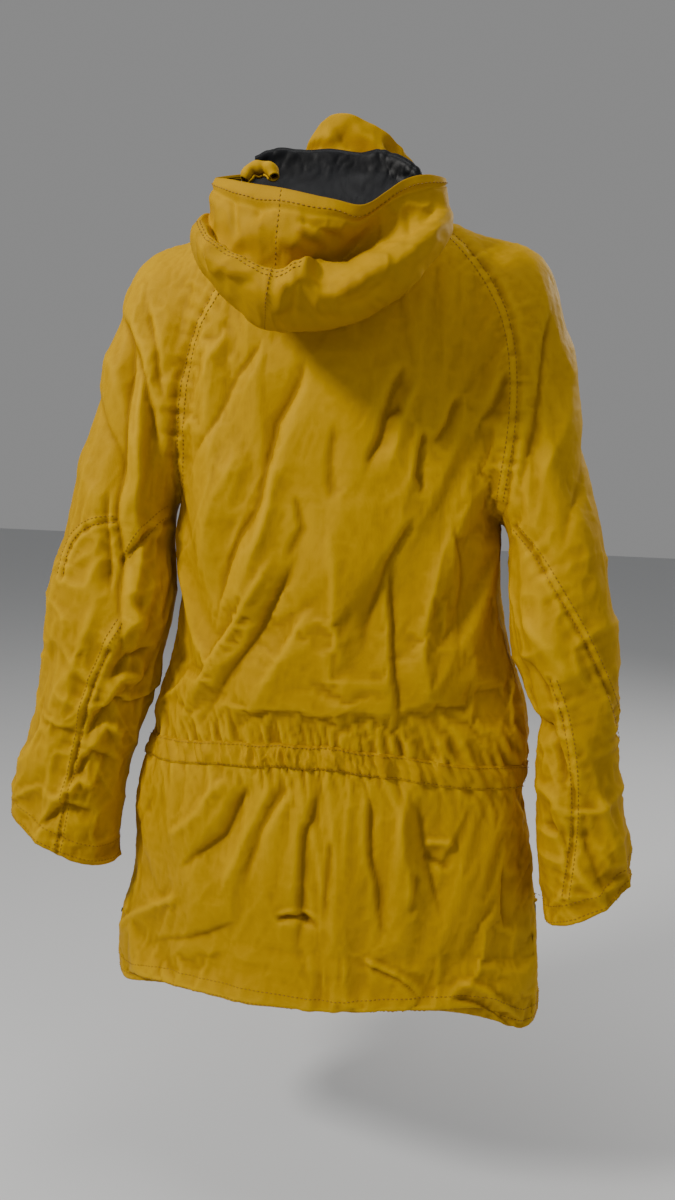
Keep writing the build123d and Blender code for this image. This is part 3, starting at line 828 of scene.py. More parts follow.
FRONT_FOLDS = [
    ([(70, -150), (96, -260), (110, -380), (118, -500)], -6, 14, 12),
    ([(96, -180), (124, -300), (138, -420)], 5, 16, 16),
    ([(54, -230), (70, -360), (74, -500)], 4, 10, 12),
    ([(60, -580), (84, -606), (130, -618)], -3, 9, 9),
    ([(-60, -130), (-88, -250), (-96, -380), (-112, -520)], -6, 12, 15),
    ([(-110, -180), (-130, -300), (-140, -420)], 5, 14, 18),
    ([(-56, -290), (-66, -400), (-64, -520)], 4, 10, 10),
    ([(-150, -350), (-156, -440), (-176, -530)], -5, 10, 12),
    ([(150, -340), (140, -430), (150, -520)], -5, 12, 10),
    ([(182, -600), (198, -700), (212, -800)], -4, 12, 12),
    ([(-186, -600), (-202, -700), (-210, -800)], -4, 12, 12),
    ([(-60, -590), (-96, -612), (-150, -606)], 3, 9, 9),
]
# Sleeve folds run round the arm, so they are used on its front and its back alike.
SLEEVE_FOLDS = {
    1: [
        ([(188, -126), (195, -215), (200, -313), (199, -412), (201, -512)], -8, 17, 7),
        ([(176, -150), (180, -260), (182, -380), (184, -480)], 5, 10, 12),
        ([(205, -110), (188, -160), (165, -225), (150, -290)], -7, 12, 9),
        ([(172, -120), (158, -170), (150, -225)], -5, 10, 8),
        ([(214, -300), (218, -360), (214, -420)], -5, 9, 6),
        ([(243, -150), (252, -230), (262, -310)], 3, 10, 16),
        ([(222, -140), (206, -205), (184, -270), (166, -318)], 4, 16, 14),
        ([(236, -180), (212, -250), (186, -315)], -4, 14, 10),
        ([(252, -230), (236, -300), (206, -350)], 2, 16, 14),
        ([(258, -270), (262, -340), (250, -400)], -2, 14, 14),
        ([(160, -330), (182, -352), (204, -382)], -6, 9, 9),
        ([(168, -420), (196, -436), (226, -470)], 8, 14, 16),
        ([(160, -452), (190, -468), (214, -505)], -9, 10, 10),
        ([(168, -486), (196, -494), (222, -530)], 7, 10, 10),
        ([(178, -520), (202, -520), (236, -560)], -8, 9, 10),
        ([(186, -548), (212, -546), (240, -590)], 6, 9, 10),
        ([(196, -580), (226, -574), (256, -612)], -6, 9, 9),
        ([(232, -420), (262, -500), (280, -560)], 4, 14, 14),
        ([(270, -440), (292, -520), (300, -600)], -4, 12, 12),
        ([(214, -610), (244, -604), (280, -640)], 5, 9, 9),
        ([(224, -640), (256, -634), (296, -668)], -5, 8, 9),
        ([(300, -560), (318, -610), (326, -640)], 4, 10, 10),
    ],
    -1: [
        ([(-214, -112), (-204, -180), (-196, -250), (-186, -310)], -7, 12, 12),
        ([(-232, -150), (-226, -230), (-212, -300)], 5, 14, 12),
        ([(-250, -220), (-248, -290), (-236, -350)], -5, 12, 10),
        ([(-190, -330), (-206, -352), (-222, -376)], -5, 8, 8),
        ([(-196, -400), (-228, -430), (-262, -470)], 6, 14, 14),
        ([(-200, -440), (-226, -468), (-250, -520)], -6, 12, 10),
        ([(-214, -492), (-236, -520), (-252, -572)], -9, 8, 9),
        ([(-226, -470), (-252, -520), (-272, -580)], 7, 12, 12),
        ([(-222, -560), (-244, -580), (-260, -620)], 5, 9, 9),
        ([(-228, -600), (-246, -612), (-262, -650)], -6, 8, 8),
        ([(-262, -600), (-284, -640), (-298, -680)], -4, 9, 9),
        ([(-276, -560), (-300, -610), (-312, -650)], 4, 12, 10),
        ([(-262, -640), (-284, -670), (-300, -700)], 3, 7, 7),
    ],
}


def fold_field(p, folds, depth=None):
    """The folds' summed heights at points p, in mm.

    With a depth, the lines lie on the upright plane at that y, and reach p along lines of sight
    from VIEW_POINT. Without one they reach it straight along y.
    """
    total = np.zeros(len(p))
    plan = p[:, [0, 2]]
    if depth is not None:
        near = ((VIEW_POINT[1] - depth) / (VIEW_POINT[1] - p[:, 1]))[:, None]
        eye = VIEW_POINT[[0, 2]]
        plan = eye + (plan - eye) * near
    wander = np.stack([value_noise(p, 46.0, 5), value_noise(p, 46.0, 6)], axis=1) * 5.0
    for line, height, left, right in folds:
        distance, along, _ = to_polyline(plan + wander, line)
        if height < 0:  # a crease: steep on its narrow side, a long easy slope on the other
            left, right = (1.9 * left, 0.6 * right) if left > right else (0.6 * left, 1.9 * right)
        width = np.where(distance > 0, left, right) * (0.45 + 0.55 * along)
        ends = smoothstep(along, 0.0, 0.22) * smoothstep(1 - along, 0.0, 0.30)
        rounded = np.sqrt(distance**2 + 1.5**2) - 1.5
        power = 1.0 if height < 0 else 1.3
        total += height * ends * np.exp(-(rounded / width) ** power)
    return total


def slanted(p, slope):
    """Coordinates whose third axis runs along a direction that drifts sideways by slope as it falls."""
    length = np.hypot(1.0, slope)
    across = (p[:, 0] + slope * p[:, 2]) / length
    along = (p[:, 2] - slope * p[:, 0]) / length
    return np.stack([across, p[:, 1], along], axis=1)


def seam_puckers(distance, along_mm, strength, seed):
    """Small puckers across a seam: they die away from it."""
    line = np.stack([along_mm, np.zeros_like(along_mm), np.zeros_like(along_mm)], axis=1)
    wave = value_noise(line, 7.0, seed) + 0.6 * value_noise(line, 3.7, seed + 1)
    return strength * wave * np.exp(-np.abs(distance) / 11.0)


def near_trim(p):
    """0 where flap, zip and pockets lie on the front, 1 elsewhere."""
    x, y, z = p.T
    centre = 1 - smoothstep(np.abs(x), 40, 62)
    pocket = 1 - smoothstep(np.abs(np.abs(x) - 114), 62, 82)
    pocket = pocket * smoothstep(-z, 590, 625) * (1 - smoothstep(-z, 812, 830))
    return np.where(y < 0, 1 - np.maximum(centre, pocket), 1.0)


def waist_pull(y, z):
    """1 at the casing, falling away above and below it. The casing hangs lower at the sides."""
    middle = (WAIST_TOP_Z + WAIST_BOTTOM_Z) / 2 - 3 - 0.3 * (86 - np.minimum(np.abs(y), 86))
    return np.exp(-(((z - middle) / 30.0) ** 2))


def fold_height(p, sleeve):
    """How far the cloth stands out at points p. sleeve is 0 for the body, 1 or -1 for a sleeve."""
    x, y, z = p.T
    if sleeve:
        total = 1.25 * fold_field(p, SLEEVE_FOLDS[sleeve], SLEEVE_DEPTH)
        slant = slanted(p, 0.35 * sleeve)
        total += 2.6 * value_noise(slant, (40, 56, 80), 21 + sleeve)
        total += 2.6 * crumple(slant, (36, 44, 34), 41 + sleeve) * smoothstep(-z, 280, 440)
        total += 1.0 * crumple(slant, (18, 24, 28), 47 + sleeve) * (0.3 + smoothstep(-z, 240, 400))
        return total
    back = smoothstep(y, -20, 30)
    trim = near_trim(p)
    total = back * 1.5 * fold_field(p, BACK_FOLDS, BACK_DEPTH)
    total += (1 - back) * trim * 1.4 * fold_field(p, FRONT_FOLDS)
    slant = slanted(p, 0.12 + 0.32 * smoothstep(x, -60, 20))
    total += trim * 2.0 * value_noise(slant, (60, 80, 130), 3)
    total += trim * 1.5 * crumple(slant, (50, 70, 110), 9)
    total += trim * 0.6 * value_noise(slant, (20, 60, 54), 4)
    total += trim * 0.8 * crumple(slant, (26, 34, 48), 7)
    around = np.arctan2(y, x) * 190.0
    ring = np.stack([around + 0.35 * z, np.zeros_like(z), z * 0.35], axis=1)
    gathers = value_noise(ring, 9.0, 61) + 0.6 * value_noise(ring, 5.0, 62)
    total += trim * waist_pull(y, z) * (3.4 * gathers - 3.0)
    tuck = back * smoothstep(-x, -190, -150) * smoothstep(-z, 768, 792)
    total += tuck * 3.0
    return total


def shape_cloth(mesh, labels):
    """Pushes the skin into its folds, puckers the seams, rolls the hem and eases the sides out."""
    vertices = vertex_array(mesh) / MM
    normals = normal_array(mesh)
    side_of = np.zeros(len(vertices))
    for polygon, label in zip(mesh.polygons, labels):
        if label >= LEFT_SLEEVE:
            side_of[list(polygon.vertices)] = 1 if label == LEFT_SLEEVE else -1
    height = np.zeros(len(vertices))
    for sleeve in (0, 1, -1):
        which = side_of == sleeve
        height[which] = fold_height(vertices[which], sleeve)
    for side in (1, -1):
        line = seam_line(side)
        distance, along, length = to_polyline(vertices[:, [0, 2]], line)
        upper = smoothstep(vertices[:, 2], -335, -300)
        calm = 1 - 0.75 * upper * np.exp(-((distance / 9.0) ** 2))
        height *= calm
        height += upper * seam_puckers(distance, along * length, 0.9, 81 + side)
        height -= upper * 2.2 * np.exp(-((distance / 4.0) ** 2))
        for line in ELBOW_SEAMS[side]:
            distance, along, length = to_polyline(vertices[:, [0, 2]], catmull(line, 30))
            near = (side_of == side) * smoothstep(vertices[:, 1], 0, 25)
            height += near * seam_puckers(distance, along * length, 1.3, 85 + side)
            ridge, groove = np.exp(-((distance / 7.0) ** 4)), np.exp(-((distance / 2.6) ** 2))
            height += near * (1.3 * ridge - 2.4 * groove)
    vertices += normals * height[:, None]
    x, y, z = vertices.T
    low = smoothstep(-z, 690, 850)
    body = side_of == 0
    vertices[body, 2] += (hem_rise(x, y) * low)[body]
    x, y, z = vertices.T
    edge = HEM_SIDE_Z + hem_rise(x, y)
    above = z - edge
    roll = body * smoothstep(y, 20, 55) * (0.35 + 0.65 * smoothstep(x, -175, -130))
    roll = roll * (1 + 0.35 * value_noise(np.stack([x, 0 * x, 0 * x], axis=1), 60.0, 14))
    belly = smoothstep(above, 9.0, 14.5) * np.exp(-((np.maximum(above - 17, 0) / 17.0) ** 2))
    vertices[:, 1] += roll * (10.0 * belly - 3.0 * (1 - smoothstep(above, 9.0, 14.5)))
    vertices[:, 2] -= roll * 4.0 * belly
    for side in (1, -1):
        reach, line = side * vertices[:, 0], body_edge(side, vertices[:, 2])
        zone = smoothstep(-vertices[:, 2], 318, 352) * (1 - smoothstep(-vertices[:, 2], 530, 610))
        push = zone * np.exp(-(((reach - line) / 26.0) ** 2)) * (reach > 0)
        wider = np.minimum(reach + 11.0 * push, np.maximum(line - 1.5, reach))
        vertices[:, 0] = np.where(body & (reach > 0), side * wider, vertices[:, 0])
    set_vertices(mesh, vertices * MM)
    return height


def drape(obj, seam):
    """Lets the cloth buckle under its own slack between the seams. Returns how far it moved."""
    mesh = obj.data
    rest = vertex_array(mesh)
    p = rest / MM
    x, y, z = p.T
    hold = np.full(len(p), 0.03)
    hold = np.maximum(hold, 0.9 * smoothstep(z, -120, -60))
    hold = np.maximum(hold, waist_pull(y, z) * (np.abs(x) < 232) * 0.8)
    hold = np.maximum(hold, 1 - near_trim(p))
    hold[seam | border_vertices(mesh)] = 1.0
    group = obj.vertex_groups.new(name="hold")
    for level in np.unique(np.round(hold, 2)):
        which = np.nonzero(np.round(hold, 2) == level)[0]
        group.add([int(i) for i in which], float(level), "REPLACE")
    cloth = obj.modifiers.new("cloth", "CLOTH")
    settings = cloth.settings
    settings.quality = 5
    settings.mass = 0.2
    settings.tension_stiffness = 20
    settings.compression_stiffness = 20
    settings.shear_stiffness = 8
    settings.bending_stiffness = 0.9
    settings.tension_damping = 8
    settings.compression_damping = 8
    settings.vertex_group_mass = "hold"
    settings.pin_stiffness = 1.0
    settings.shrink_min = -0.022
    settings.effector_weights.gravity = 0.12
    cloth.collision_settings.use_collision = False
    cloth.point_cache.frame_start = 1
    cloth.point_cache.frame_end = 30
    scene = bpy.context.scene
    for number in range(1, DRAPE_FRAMES + 1):
        scene.frame_set(number)
    apply_modifiers(obj)
    scene.frame_set(1)
    moved = vertex_array(obj.data) - rest
    length = np.linalg.norm(moved, axis=1)
    moved *= (np.minimum(length, DRAPE_LIMIT) / np.maximum(length, 1e-9))[:, None]
    on_sleeve = np.abs(x) > np.where(x > 0, body_edge(1, z), body_edge(-1, z))
    slack = np.where(on_sleeve, SLACK_SLEEVE, SLACK_BODY)[:, None] * moved
    set_vertices(obj.data, rest + slack)
    return slack


def refine(obj, labels, slack):
    """Subdivides the plain skin once, folds it, adds what the draping moved and its finest creases.

    It also stores how much each point stands proud, for the painted highlight and shade of the folds,
    and returns the faces' panels.
    """
    obj.data.attributes.new("panel", "INT", "FACE").data.foreach_set("value", labels.astype(np.int32))
    obj.data.attributes.new("slack", "FLOAT_VECTOR", "POINT").data.foreach_set("vector", slack.ravel())
    finer = obj.modifiers.new("finer", "SUBSURF")
    finer.levels = finer.render_levels = 1
    finer.boundary_smooth = "PRESERVE_CORNERS"
    apply_modifiers(obj)
    mesh = obj.data
    found = np.empty(len(mesh.polygons), np.int32)
    mesh.attributes["panel"].data.foreach_get("value", found)
    moved = np.empty(len(mesh.vertices) * 3, np.float32)
    mesh.attributes["slack"].data.foreach_get("vector", moved)
    shape_cloth(mesh, found)
    vertices = vertex_array(mesh) + moved.reshape(-1, 3)
    edges = edge_array(mesh)
    p = vertices / MM
    fine = 0.30 * crumple(slanted(p, 0.3), (9, 12, 15), 91) + 0.16 * crumple(p, (5.5, 6, 7), 95)
    vertices = vertices + normal_array(mesh) * (fine * MM)[:, None]
    set_vertices(mesh, vertices)
    soft = smoothed(vertices, edges, 14)
    # How far each point stands proud: the colour paints ridges lighter, partly wear and partly
    # highlight, and creases darker as painted shade.
    proud = np.einsum("ij,ij->i", vertices - soft, normal_array(mesh)) / MM
    fold_wear_and_light = np.clip(proud / 1.1, -1, 1)
    mesh.attributes.new("fold_wear_and_light", "FLOAT", "POINT").data.foreach_set("value", fold_wear_and_light.astype(np.float32))
    return found


def take_faces(name, source, chosen, inward=0.0, flip=False):
    """A new piece from some of a mesh's faces, moved inward by so many mm."""
    mesh = source.data
    vertices = vertex_array(mesh) - normal_array(mesh) * inward * MM
    index = np.nonzero(chosen)[0]
    loops = [tuple(mesh.polygons[int(i)].vertices) for i in index]
    used = np.unique(np.array([v for face in loops for v in face]))
    renumber = {int(v): k for k, v in enumerate(used)}
    faces = [tuple(renumber[v] for v in (face[::-1] if flip else face)) for face in loops]
    obj = mesh_object(name, vertices[used], faces)
    fold_wear_and_light = mesh.attributes.get("fold_wear_and_light")
    if fold_wear_and_light is not None:
        values = np.empty(len(mesh.vertices), np.float32)
        fold_wear_and_light.data.foreach_get("value", values)
        obj.data.attributes.new("fold_wear_and_light", "FLOAT", "POINT").data.foreach_set("value", values[used])
    return obj


def turn_edges(obj, where, depth=3.0, back=9.0):
    """Turns an open edge inwards, as a hemmed edge is: a rounded lip and a short return."""
    work = bmesh.new()
    work.from_mesh(obj.data)
    work.verts.ensure_lookup_table()
    edges = [e for e in work.edges if e.is_boundary and where((e.verts[0].co + e.verts[1].co) / 2 / MM)]
    inward = {}
    for e in edges:
        face = e.link_faces[0]
        toward = face.calc_center_median() - (e.verts[0].co + e.verts[1].co) / 2
        for v in e.verts:
            normal = face.normal
            along = (toward - normal * toward.dot(normal)).normalized()
            inward.setdefault(v, []).append((normal.copy(), along))
    current = edges
    place = {v: v for v in inward}
    steps = [(0.45, -0.25), (1.0, 0.15), (1.0, back / depth)]
    for across, up in steps:
        made = bmesh.ops.extrude_edge_only(work, edges=current)["geom"]
        fresh = [g for g in made if isinstance(g, bmesh.types.BMEdge)]
        new_verts = {v for g in fresh for v in g.verts}
        origin = {}
        for v in new_verts:
            for e in v.link_edges:
                other = e.other_vert(v)
                if other in place:
                    origin[v] = place[other]
                    break
        for v in new_verts:
            base = origin.get(v)
            if base is None or base not in inward:
                continue
            normal = sum((n for n, _ in inward[base]), Vector()).normalized()
            along = sum((a for _, a in inward[base]), Vector()).normalized()
            v.co = base.co - normal * across * depth * MM + along * up * depth * MM
        place = {v: origin[v] for v in new_verts if v in origin}
        current = [e for e in fresh if all(v in place for v in e.verts)]
    bmesh.ops.recalc_face_normals(work, faces=[])
    work.to_mesh(obj.data)
    work.free()
    obj.data.shade_smooth()


# ---------------------------------------------------------------- stitching
def stitch_mesh(name, runs, long=3.0, gap=1.5, radius=0.42):
    """Rows of thread stitches. Each run is (points, normals) in metres, points close together."""
    vertices, faces = [], []
    ring = [(math.cos(a), math.sin(a)) for a in np.linspace(0, 2 * np.pi, 6)[:-1]]
    lift = [-0.5, 0.55, 0.75, 0.55, -0.5]
    for points, normals in runs:
        if len(points) < 3:
            continue
        steps = np.linalg.norm(np.diff(points, axis=0), axis=1) / MM
        travelled = np.concatenate([[0], np.cumsum(steps)])
        start = gap
        while start + long < travelled[-1]:
            at = start + long * np.linspace(0, 1, 5)
            start += long + gap
            path = np.stack([np.interp(at, travelled, points[:, k]) for k in range(3)], axis=1)
            if np.linalg.norm(path[-1] - path[0]) > 1.5 * long * MM:
                continue
            normal = np.array([np.interp(at[2], travelled, normals[:, k]) for k in range(3)])
            normal /= np.linalg.norm(normal) + 1e-9
            forward = path[-1] - path[0]
            forward /= np.linalg.norm(forward) + 1e-9
            side = np.cross(forward, normal)
            base = len(vertices)
            for station, (centre, up) in enumerate(zip(path, lift)):
                size = radius * (0.55 if station in (0, 4) else 1.0) * MM
                middle = centre + normal * up * radius * MM
                vertices += [tuple(middle + side * a * size + normal * b * size) for a, b in ring]
            for station in range(4):
                for k in range(5):
                    a = base + station * 5 + k
                    b = base + station * 5 + (k + 1) % 5
                    faces.append((a, b, b + 5, a + 5))
            faces.append(tuple(base + k for k in range(5))[::-1])
            faces.append(tuple(base + 20 + k for k in range(5)))
    return mesh_object(name, vertices, faces)


class Skin:
    """Finds points on a finished cloth mesh."""

    def __init__(self, *objs):
        vertices, faces, base = [], [], 0
        for obj in objs:
            vertices += [v.co.copy() for v in obj.data.vertices]
            faces += [tuple(base + i for i in polygon.vertices) for polygon in obj.data.polygons]
            base = len(vertices)
        self.tree = BVHTree.FromPolygons(vertices, faces)

    def along_y(self, line, side, step=1.0):
        """Points on the front (-1) or the back (1) under a line of (x, z) in mm."""
        places, normals = [], []
        for x, z in resample(line, step):
            start, way = Vector((x * MM, side * 0.5, z * MM)), Vector((0, -side, 0))
            hit, normal, _, _ = self.tree.ray_cast(start, way)
            if hit is not None and hit.y * side > -0.12:
                places.append(hit)
                normals.append(normal if normal.y * side > 0 else -normal)
        return np.array([tuple(p) for p in places]), np.array([tuple(n) for n in normals])

    def round(self, centre, angle, z):
        """The outermost point at a height, looking in towards a centre (x, y) in mm."""
        out = Vector((math.cos(angle), math.sin(angle), 0))
        start = Vector((centre[0] * MM, centre[1] * MM, z * MM)) + out * 0.5
        hit, normal, _, _ = self.tree.ray_cast(start, -out)
        if hit is None:
            return None
        return hit, normal if normal.dot(out) > 0 else -normal


def resample(line, step):
    """Evenly spaced points along a line of points."""
    line = np.array(line, float)
    steps = np.linalg.norm(np.diff(line, axis=0), axis=1)
    travelled = np.concatenate([[0], np.cumsum(steps)])
    at = np.arange(0, travelled[-1], step)
    return np.stack([np.interp(at, travelled, line[:, k]) for k in range(line.shape[1])], axis=1)


def spline_point(a, b, c, d, t):
    """A Catmull-Rom curve's point between b and c."""
    square = (2 * a - 5 * b + 4 * c - d) * t**2
    cube = (3 * b - a - 3 * c + d) * t**3
    return 0.5 * (2 * b + (c - a) * t + square + cube)


def curve_through(points, step):
    """Evenly spaced points on a smooth curve through points."""
    points = np.array(points, float)
    padded = np.vstack([2 * points[0] - points[1], points, 2 * points[-1] - points[-2]])
    found = []
    for i in range(1, len(padded) - 2):
        a, b, c, d = padded[i - 1 : i + 3]
        for t in np.linspace(0, 1, 24, endpoint=False):
            found.append(
                spline_point(a, b, c, d, t)
            )
    found.append(points[-1])
    return resample(found, step)


def shifted(line, across):
    """A line of (x, z) moved sideways by across, to the wearer's left of a downward line."""
    line = np.array(line, float)
    step = np.gradient(line, axis=0)
    step /= np.linalg.norm(step, axis=1)[:, None]
    return line + across * np.stack([-step[:, 1], step[:, 0]], axis=1)


# ---------------------------------------------------------------- lofted soft pieces
def catmull(rows, count):
    """Resamples the first axis of a grid of points to count places on a smooth curve."""
    rows = np.array(rows, float)
    padded = np.concatenate([2 * rows[:1] - rows[1:2], rows, 2 * rows[-1:] - rows[-2:-1]])
    at = np.linspace(0, len(rows) - 1 - 1e-9, count)
    i = at.astype(int)
    t = (at - i).reshape(-1, *([1] * (rows.ndim - 1)))
    a, b, c, d = padded[i], padded[i + 1], padded[i + 2], padded[i + 3]
    return spline_point(a, b, c, d, t)


def grid_object(name, grid, closed=False):
    """A mesh through a grid of points in mm, (rows, columns, 3)."""
    rows, columns = grid.shape[:2]
    faces = []
    for r in range(rows - 1):
        for c in range(columns if closed else columns - 1):
            d = (c + 1) % columns
            low, high = r * columns, (r + 1) * columns
            faces.append((low + c, low + d, high + d, high + c))
    return mesh_object(name, grid.reshape(-1, 3) * MM, faces)


def grid_normals(grid):
    across = np.gradient(grid, axis=1)
    down = np.gradient(grid, axis=0)
    normal = np.cross(across, down)
    return normal / np.maximum(np.linalg.norm(normal, axis=2), 1e-9)[:, :, None]


# ---------------------------------------------------------------- putting pieces on the frame
SIDES = ((1, "left"), (-1, "right"))


def dress(obj, material):
    obj.data.materials.clear()
    obj.data.materials.append(MATERIALS[material])
    return obj


def ride_sleeve(obj):
    """Bakes the piece's placement into its mesh, without tying it to the sleeve."""
    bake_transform(obj)


# ---------------------------------------------------------------- the coat
def make_coat():
    """Body panels and sleeves from one draped skin, with their linings and facings."""
    blank = make_blank()
    labels = label_faces(blank.data)
    seam = settle_seams(blank.data, labels)
    coarse = blank.copy()
    coarse.data = blank.data.copy()
    bpy.context.scene.collection.objects.link(coarse)
    shape_cloth(coarse.data, labels)
    slack = drape(coarse, seam)
    coarse_labels = labels
    labels = refine(blank, labels, slack)
    panels = {}
    for number, name in enumerate(PANEL_NAMES):
        panels[name] = take_faces(f"{name}_cloth", blank, labels == number)
    skin = Skin(*panels.values())
    body_skin = Skin(*[panels[n] for n in PANEL_NAMES[:3]])
    make_inside(coarse, coarse_labels)
    for name, obj in panels.items():
        if name.endswith("sleeve"):
            turn_edges(obj, lambda p: p.z < -640)
        else:
            turn_edges(obj, lambda p: p.z < -740 or (p.y < -40 and abs(p.x) < 12))
        dress(obj, "shell_cloth")
    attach(panels["back_panel"], "coat")
    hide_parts("back_panel")
    for _, name in SIDES:
        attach(panels[f"{name}_front_panel"], "coat")
        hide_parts(f"{name}_front_panel")
        sleeve = panels[f"{name}_sleeve"]
        ride_sleeve(sleeve)
        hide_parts(f"{name}_upper_sleeve", f"{name}_elbow", f"{name}_lower_sleeve")
    bpy.data.objects.remove(blank)
    bpy.data.objects.remove(coarse)
    return panels, skin, body_skin


def edge_gap(centres):
    """How far above the hem's edge points are, in mm."""
    x, y, z = centres.T
    return z - (HEM_SIDE_Z + hem_rise(x, y))


def cuff_gap(centres, side):
    """How far above the cuff's slanting edge points are, in mm."""
    (outer_x, outer_z), (inner_x, inner_z) = CUFFS[side]
    slope = (outer_z - inner_z) / (outer_x - inner_x)
    return centres[:, 2] - (inner_z + slope * (side * centres[:, 0] - inner_x))


def make_inside(coarse, labels):
    """Linings, the hem's facing and the cuffs' bands, on the inside of the cloth."""
    centres = np.empty(len(coarse.data.polygons) * 3)
    coarse.data.polygons.foreach_get("center", centres)
    centres = centres.reshape(-1, 3) / MM
    body = labels < LEFT_SLEEVE
    above = edge_gap(centres)
    lining = take_faces("body_lining_cloth", coarse, body & (above > 22), LINING_INSET, True)
    facing = take_faces("hem_facing_cloth", coarse, body & (above < 27), FACING_INSET, True)
    inside = ((lining, "dark_lining", "body_lining"), (facing, "shell_cloth", "hem_facing"))
    for obj, material, node in inside:
        dress(obj, material)
        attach(obj, "coat")
        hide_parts(node)
    for (side, name), label in zip(SIDES, (LEFT_SLEEVE, RIGHT_SLEEVE)):
        arm = labels == label
        above = cuff_gap(centres, side)
        lining = take_faces(
            f"{name}_sleeve_lining_cloth", coarse, arm & (above > 20), LINING_INSET, True
        )
        dress(lining, "dark_lining")
        ride_sleeve(lining)
        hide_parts(f"{name}_upper_sleeve_lining", f"{name}_lower_sleeve_lining")
        band = take_faces(f"{name}_cuff_band_cloth", coarse, arm & (above < 25), FACING_INSET, True)
        dress(band, "shell_cloth")
        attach(band, f"{name}_forearm")
        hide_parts(f"{name}_cuff_band")


def ring_points(skin, centre, height, low, high, count):
    """Points round the cloth at a height given for each point in plan, between two angles."""
    places, normals = [], []
    for angle in np.linspace(low, high, count):
        z = height if np.isscalar(height) else height(angle)
        found = skin.round(centre, angle, z)
        if found is not None:
            places.append(tuple(found[0]))
            normals.append(tuple(found[1]))
    return np.array(places), np.array(normals)


def make_casing(skin):
    """The waist's drawcord casing: a gathered strip stitched on along both edges."""
    half_gap = math.asin(0.47)
    angles = np.linspace(-np.pi / 2 + half_gap, 3 * np.pi / 2 - half_gap, 620)
    rows = 11
    grid = np.zeros((rows, len(angles), 3))
    for k, angle in enumerate(angles):
        wave = 1.6 * math.sin(angle * 3.0 + 0.6) + 0.9 * math.sin(angle * 11.0)
        for row in range(rows):
            sag = -26.0 * (1 - abs(math.sin(angle)) ** 0.87)
            z = WAIST_TOP_Z - 4 + sag + (WAIST_BOTTOM_Z - WAIST_TOP_Z) * row / (rows - 1) + wave
            hit, _ = skin.round((0, 0), angle, z)
            grid[row, k] = np.array(hit) / MM
    around = np.cumsum(np.concatenate([[0], np.linalg.norm(np.diff(grid[5], axis=0), axis=1)]))
    flat = np.zeros((rows, len(angles)))
    p = np.stack([np.tile(around, (rows, 1)), flat, grid[:, :, 2]], axis=2).reshape(-1, 3)
    q = p.copy()
    q[:, 0] += 0.8 * (p[:, 2] - WAIST_TOP_Z)
    folds = 1.5 * crumple(q, (11, 10, 20), 131) + 1.0 * value_noise(q, (6, 10, 14), 135)
    out = grid.copy()
    out[:, :, 2] = 0
    out /= np.linalg.norm(out, axis=2)[:, :, None]
    arch = np.sin(np.linspace(0, np.pi, rows)) ** 0.5
    lift = 0.9 + arch[:, None] * (2.6 + folds.reshape(rows, -1))
    grid += out * lift[:, :, None]
    lip = grid[[0, -1]] - out[[0, -1]] * 2.4
    grid = np.concatenate([lip[:1], grid, lip[1:]])
    obj = grid_object("waist_casing_cloth", grid)
    finer = obj.modifiers.new("finer", "SUBSURF")
    finer.levels = finer.render_levels = 1
    apply_modifiers(obj)
    add_fold_wear_and_light(obj, 0.7)
    dress(obj, "shell_cloth")
    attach(obj, "coat")
    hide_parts("waist_casing")
    runs = []
    for row in (2, -3):
        places = grid[row] * MM
        runs.append((places + out[5] * 0.3 * MM, out[5]))
    thread = stitch_mesh("waist_casing_stitching", runs)
    dress(thread, "thread")
    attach(thread, "coat")


def add_fold_wear_and_light(obj, scale, rounds=8):
    """Stores how much each point stands proud of its surroundings, which the cloth's colour paints as
    highlight with wear on ridges and as shade in creases.
    """
    mesh = obj.data
    vertices = vertex_array(mesh)
    soft = smoothed(vertices, edge_array(mesh), rounds)
    proud = np.einsum("ij,ij->i", vertices - soft, normal_array(mesh)) / MM
    attribute = mesh.attributes.get("fold_wear_and_light") or mesh.attributes.new("fold_wear_and_light", "FLOAT", "POINT")
    attribute.data.foreach_set("value", np.clip(proud / scale, -1, 1).astype(np.float32))


ELBOW_SEAMS = {
    1: [
        [(158, -322), (176, -346), (196, -374)],
        [(203, -334), (222, -336), (240, -344), (256, -362), (263, -394)],
        [(196, -434), (214, -468), (232, -510), (248, -566), (262, -632), (272, -690)],
    ],
    -1: [
        [
            (-188, -326), (-210, -350), (-232, -382), (-258, -424), (-281, -470), (-296, -512),
            (-303, -540),
        ],
        [(-230, -462), (-244, -500), (-254, -548), (-258, -610), (-254, -680)],
    ],
}


def make_body_stitching(skin, body_skin):
    """Twin rows along the raglan seams and rows round the hem."""
    runs = []
    for side in (1, -1):
        line = [(side * x, z) for x, z in RAGLAN[side]]
        line = catmull(line, 60)
        for face in (1, -1):
            for off in (2.2, 8.4):
                runs.append(skin.along_y(shifted(line, side * -off), face))
    for step in (7.0, 20.0):
        low, high = -np.pi / 2 + 0.12, 3 * np.pi / 2 - 0.12
        places, normals = [], []
        for angle in np.linspace(low, high, 1500):
            found = body_skin.round((0, 0), angle, -800.0)
            if found is None:
                continue
            x, y = found[0].x / MM, found[0].y / MM
            z = HEM_SIDE_Z + hem_rise(np.array([x]), np.array([y]))[0] + step
            found = body_skin.round((0, 0), angle, z)
            if found is not None:
                places.append(tuple(found[0]))
                normals.append(tuple(found[1]))
        runs.append((np.array(places), np.array(normals)))
    thread = stitch_mesh("body_stitching", runs)
    dress(thread, "thread")
    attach(thread, "coat")


